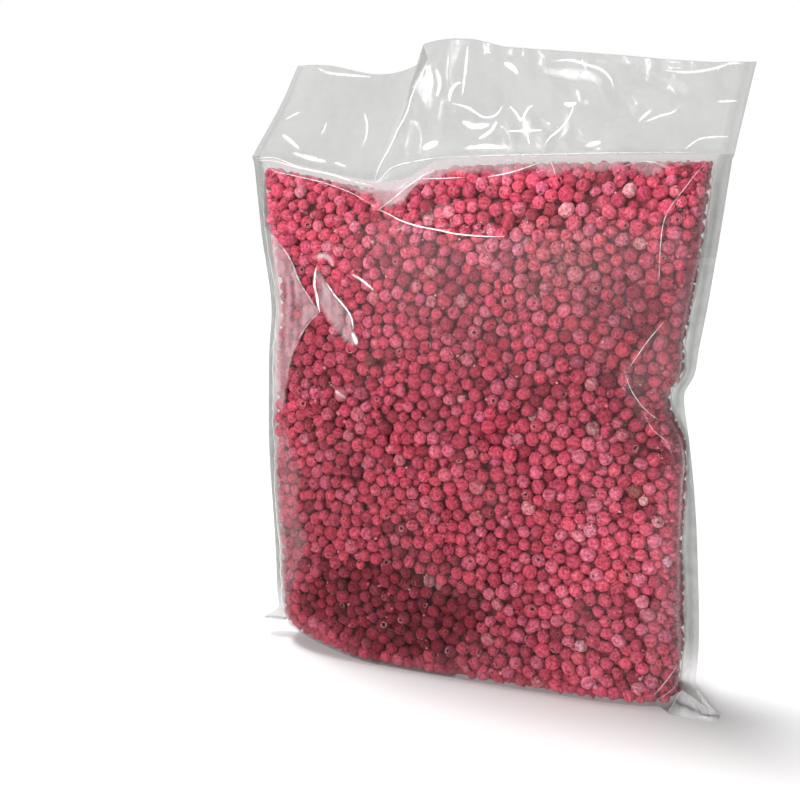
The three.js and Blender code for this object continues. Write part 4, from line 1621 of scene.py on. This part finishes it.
class POUCH_OT_film(bpy.types.Operator):
    """Make the clear film with its seams, seal, flap and wrinkles"""

    bl_idname = "pouch.film"
    bl_label = "Film"

    def execute(self, context):
        make_film(context.scene.pouch_film)
        return {"FINISHED"}


class POUCH_OT_creases(bpy.types.Operator):
    """Lay the bright sharp creases and the soft glare on the film"""

    bl_idname = "pouch.creases"
    bl_label = "Creases"

    def execute(self, context):
        make_creases(context.scene.pouch_creases, bpy.data.objects["pouch_film"])
        make_gleams(context.scene.pouch_creases, bpy.data.objects["pouch_film"])
        return {"FINISHED"}


class POUCH_OT_fill(bpy.types.Operator):
    """Pack the berries behind the film, over their core, with crumbs in the gaps"""

    bl_idname = "pouch.fill"
    bl_label = "Fill"

    def execute(self, context):
        settings = context.scene.pouch_berries
        tree, points, radius, rng = make_berries(settings, bpy.data.objects["pouch_film"])
        make_crumbs(settings, tree, points, radius, rng)
        make_core(settings)
        return {"FINISHED"}


class POUCH_OT_stage(bpy.types.Operator):
    """Set the floor, the studio lights and the camera"""

    bl_idname = "pouch.stage"
    bl_label = "Stage"

    def execute(self, context):
        make_stage(context.scene.pouch_stage)
        return {"FINISHED"}


class POUCH_PT_panel(bpy.types.Panel):
    """Lists the pieces of the pouch and their settings"""

    bl_label = "Pouch"
    bl_idname = "POUCH_PT_panel"
    bl_space_type = "VIEW_3D"
    bl_region_type = "UI"
    bl_category = "Pouch"

    def draw(self, context):
        groups = (
            (context.scene.pouch_film, POUCH_OT_film),
            (context.scene.pouch_creases, POUCH_OT_creases),
            (context.scene.pouch_berries, POUCH_OT_fill),
            (context.scene.pouch_stage, POUCH_OT_stage),
        )
        for settings, operator in groups:
            box = self.layout.box()
            for name in settings.__annotations__:
                box.prop(settings, name)
            box.operator(operator.bl_idname)


# ---- Stage ------------------------------------------------------------------------------------

# The camera, in metres and degrees, fitted to the pouch's edges in the photo.
CAMERA_PLACE = (0.1940, -0.5936, 0.2704)
CAMERA_DOWN = 9.93
CAMERA_TURN = 21.77
FLOOR_REACH = 6000.0
WHITE = (1.0, 1.0, 1.0, 1.0)

# The even lights: the way they shine and how wide they look, in degrees.
OVERHEAD_WAY, OVERHEAD_ANGLE = (0.32, -0.13, -0.94), 24
FRONT_WAY, FRONT_ANGLE = (0.15, 0.985, -0.10), 50
# The light before the top left: place, aim, side, and the spread of its beam in degrees.
UPPER_PLACE, UPPER_AIM, UPPER_SIDE, UPPER_SPREAD = (-0.25, -0.75, 0.42), (-0.05, -0.03, 0.31), 0.25, 55
# Softboxes that only the film's gloss mirrors: place, width, height and power.
GLINT_AIM = (0.0, 0.0, 0.2)
GLINT_LIGHTS = (
    ("key", (-0.65, -1.04, 0.68), 0.22, 0.22, 2.7),
    ("broad", (-0.50, -1.20, 1.05), 0.9, 0.5, 2.8),
    ("right", (1.0, -0.9, 0.6), 0.15, 0.3, 1.4),
)


def soft_light(name, place, aim, width, height, power):
    """A softbox of a size in metres, aimed at a place."""
    lamp = bpy.data.lights.new(name, "AREA")
    lamp.shape = "RECTANGLE"
    lamp.size, lamp.size_y = width, height
    lamp.energy = power
    made = bpy.data.objects.new(name, lamp)
    made.location = place
    made.rotation_euler = (Vector(aim) - Vector(place)).to_track_quat("-Z", "Y").to_euler()
    bpy.context.scene.collection.objects.link(made)
    return made


def even_light(name, way, angle, strength):
    """A wide light from far away, which no gloss mirrors."""
    lamp = bpy.data.lights.new(name, "SUN")
    lamp.energy = strength
    lamp.angle = math.radians(angle)
    made = bpy.data.objects.new(name, lamp)
    made.rotation_euler = Vector(way).to_track_quat("-Z", "Y").to_euler()
    made.visible_glossy = False
    bpy.context.scene.collection.objects.link(made)


def studio_world(settings):
    """White to the camera, brighter in the film's gloss than in the light it gives."""
    world = bpy.data.worlds.new("studio")
    world.use_nodes = True
    world.node_tree.nodes.clear()
    sky = Nodes(world.node_tree)
    seen, lit, mirrored = (sky.node("ShaderNodeBackground", {}, [WHITE, strength])
                           for strength in (1.0, settings.studio, settings.mirrored))
    by_gloss = sky.node("ShaderNodeLightPath", output="Is Glossy Ray")
    by_camera = sky.node("ShaderNodeLightPath", output="Is Camera Ray")
    around = sky.node("ShaderNodeMixShader", {}, [by_gloss, lit, mirrored])
    shown = sky.node("ShaderNodeMixShader", {}, [by_camera, around, seen])
    sky.ended("ShaderNodeOutputWorld", shown, "Surface")
    return world


def make_stage(settings):
    """The floor, the studio, its lights and the camera."""
    reach = FLOOR_REACH
    corners = ((-reach, -reach, 0), (reach, -reach, 0), (reach, reach, 0), (-reach, reach, 0))
    floor = new_object("studio_floor", corners, ((0, 1, 2, 3),), False)
    floor.data.materials.append(floor_finish(settings.floor_colour))
    bpy.context.scene.world = studio_world(settings)

    even_light("overhead", OVERHEAD_WAY, OVERHEAD_ANGLE, settings.overhead)
    even_light("front", FRONT_WAY, FRONT_ANGLE, settings.front)
    upper = soft_light("upper", UPPER_PLACE, UPPER_AIM, UPPER_SIDE, UPPER_SIDE, settings.upper)
    upper.visible_glossy = False
    upper.data.spread = math.radians(UPPER_SPREAD)
    for name, place, width, height, power in GLINT_LIGHTS:
        made = soft_light(name, place, GLINT_AIM, width, height, power * settings.glints)
        made.visible_diffuse = False

    lens = bpy.data.cameras.new("camera")
    lens.lens = settings.lens
    lens.sensor_width = 36.0
    lens.clip_start, lens.clip_end = 0.01, 50.0
    camera = bpy.data.objects.new("camera", lens)
    camera.location = CAMERA_PLACE
    camera.rotation_euler = (math.radians(90 - CAMERA_DOWN), 0.0, math.radians(CAMERA_TURN))
    bpy.context.scene.collection.objects.link(camera)
    bpy.context.scene.camera = camera
    bpy.context.scene.view_settings.view_transform = "Standard"
    bpy.context.scene.view_settings.look = "None"


# ---- Running ----------------------------------------------------------------------------------

CLASSES = (PouchFilmSettings, PouchCreaseSettings, PouchBerrySettings, PouchStageSettings,
           POUCH_OT_film, POUCH_OT_creases, POUCH_OT_fill, POUCH_OT_stage, POUCH_PT_panel)


def register():
    for part in CLASSES:
        bpy.utils.register_class(part)
    scene = bpy.types.Scene
    scene.pouch_film = bpy.props.PointerProperty(type=PouchFilmSettings)
    scene.pouch_creases = bpy.props.PointerProperty(type=PouchCreaseSettings)
    scene.pouch_berries = bpy.props.PointerProperty(type=PouchBerrySettings)
    scene.pouch_stage = bpy.props.PointerProperty(type=PouchStageSettings)


def unregister():
    del bpy.types.Scene.pouch_film
    del bpy.types.Scene.pouch_creases
    del bpy.types.Scene.pouch_berries
    del bpy.types.Scene.pouch_stage
    for part in reversed(CLASSES):
        bpy.utils.unregister_class(part)


def main():
    register()
    bpy.ops.pouch.stage()
    bpy.ops.pouch.film()
    bpy.ops.pouch.creases()
    bpy.ops.pouch.fill()


if __name__ == "__main__":
    main()
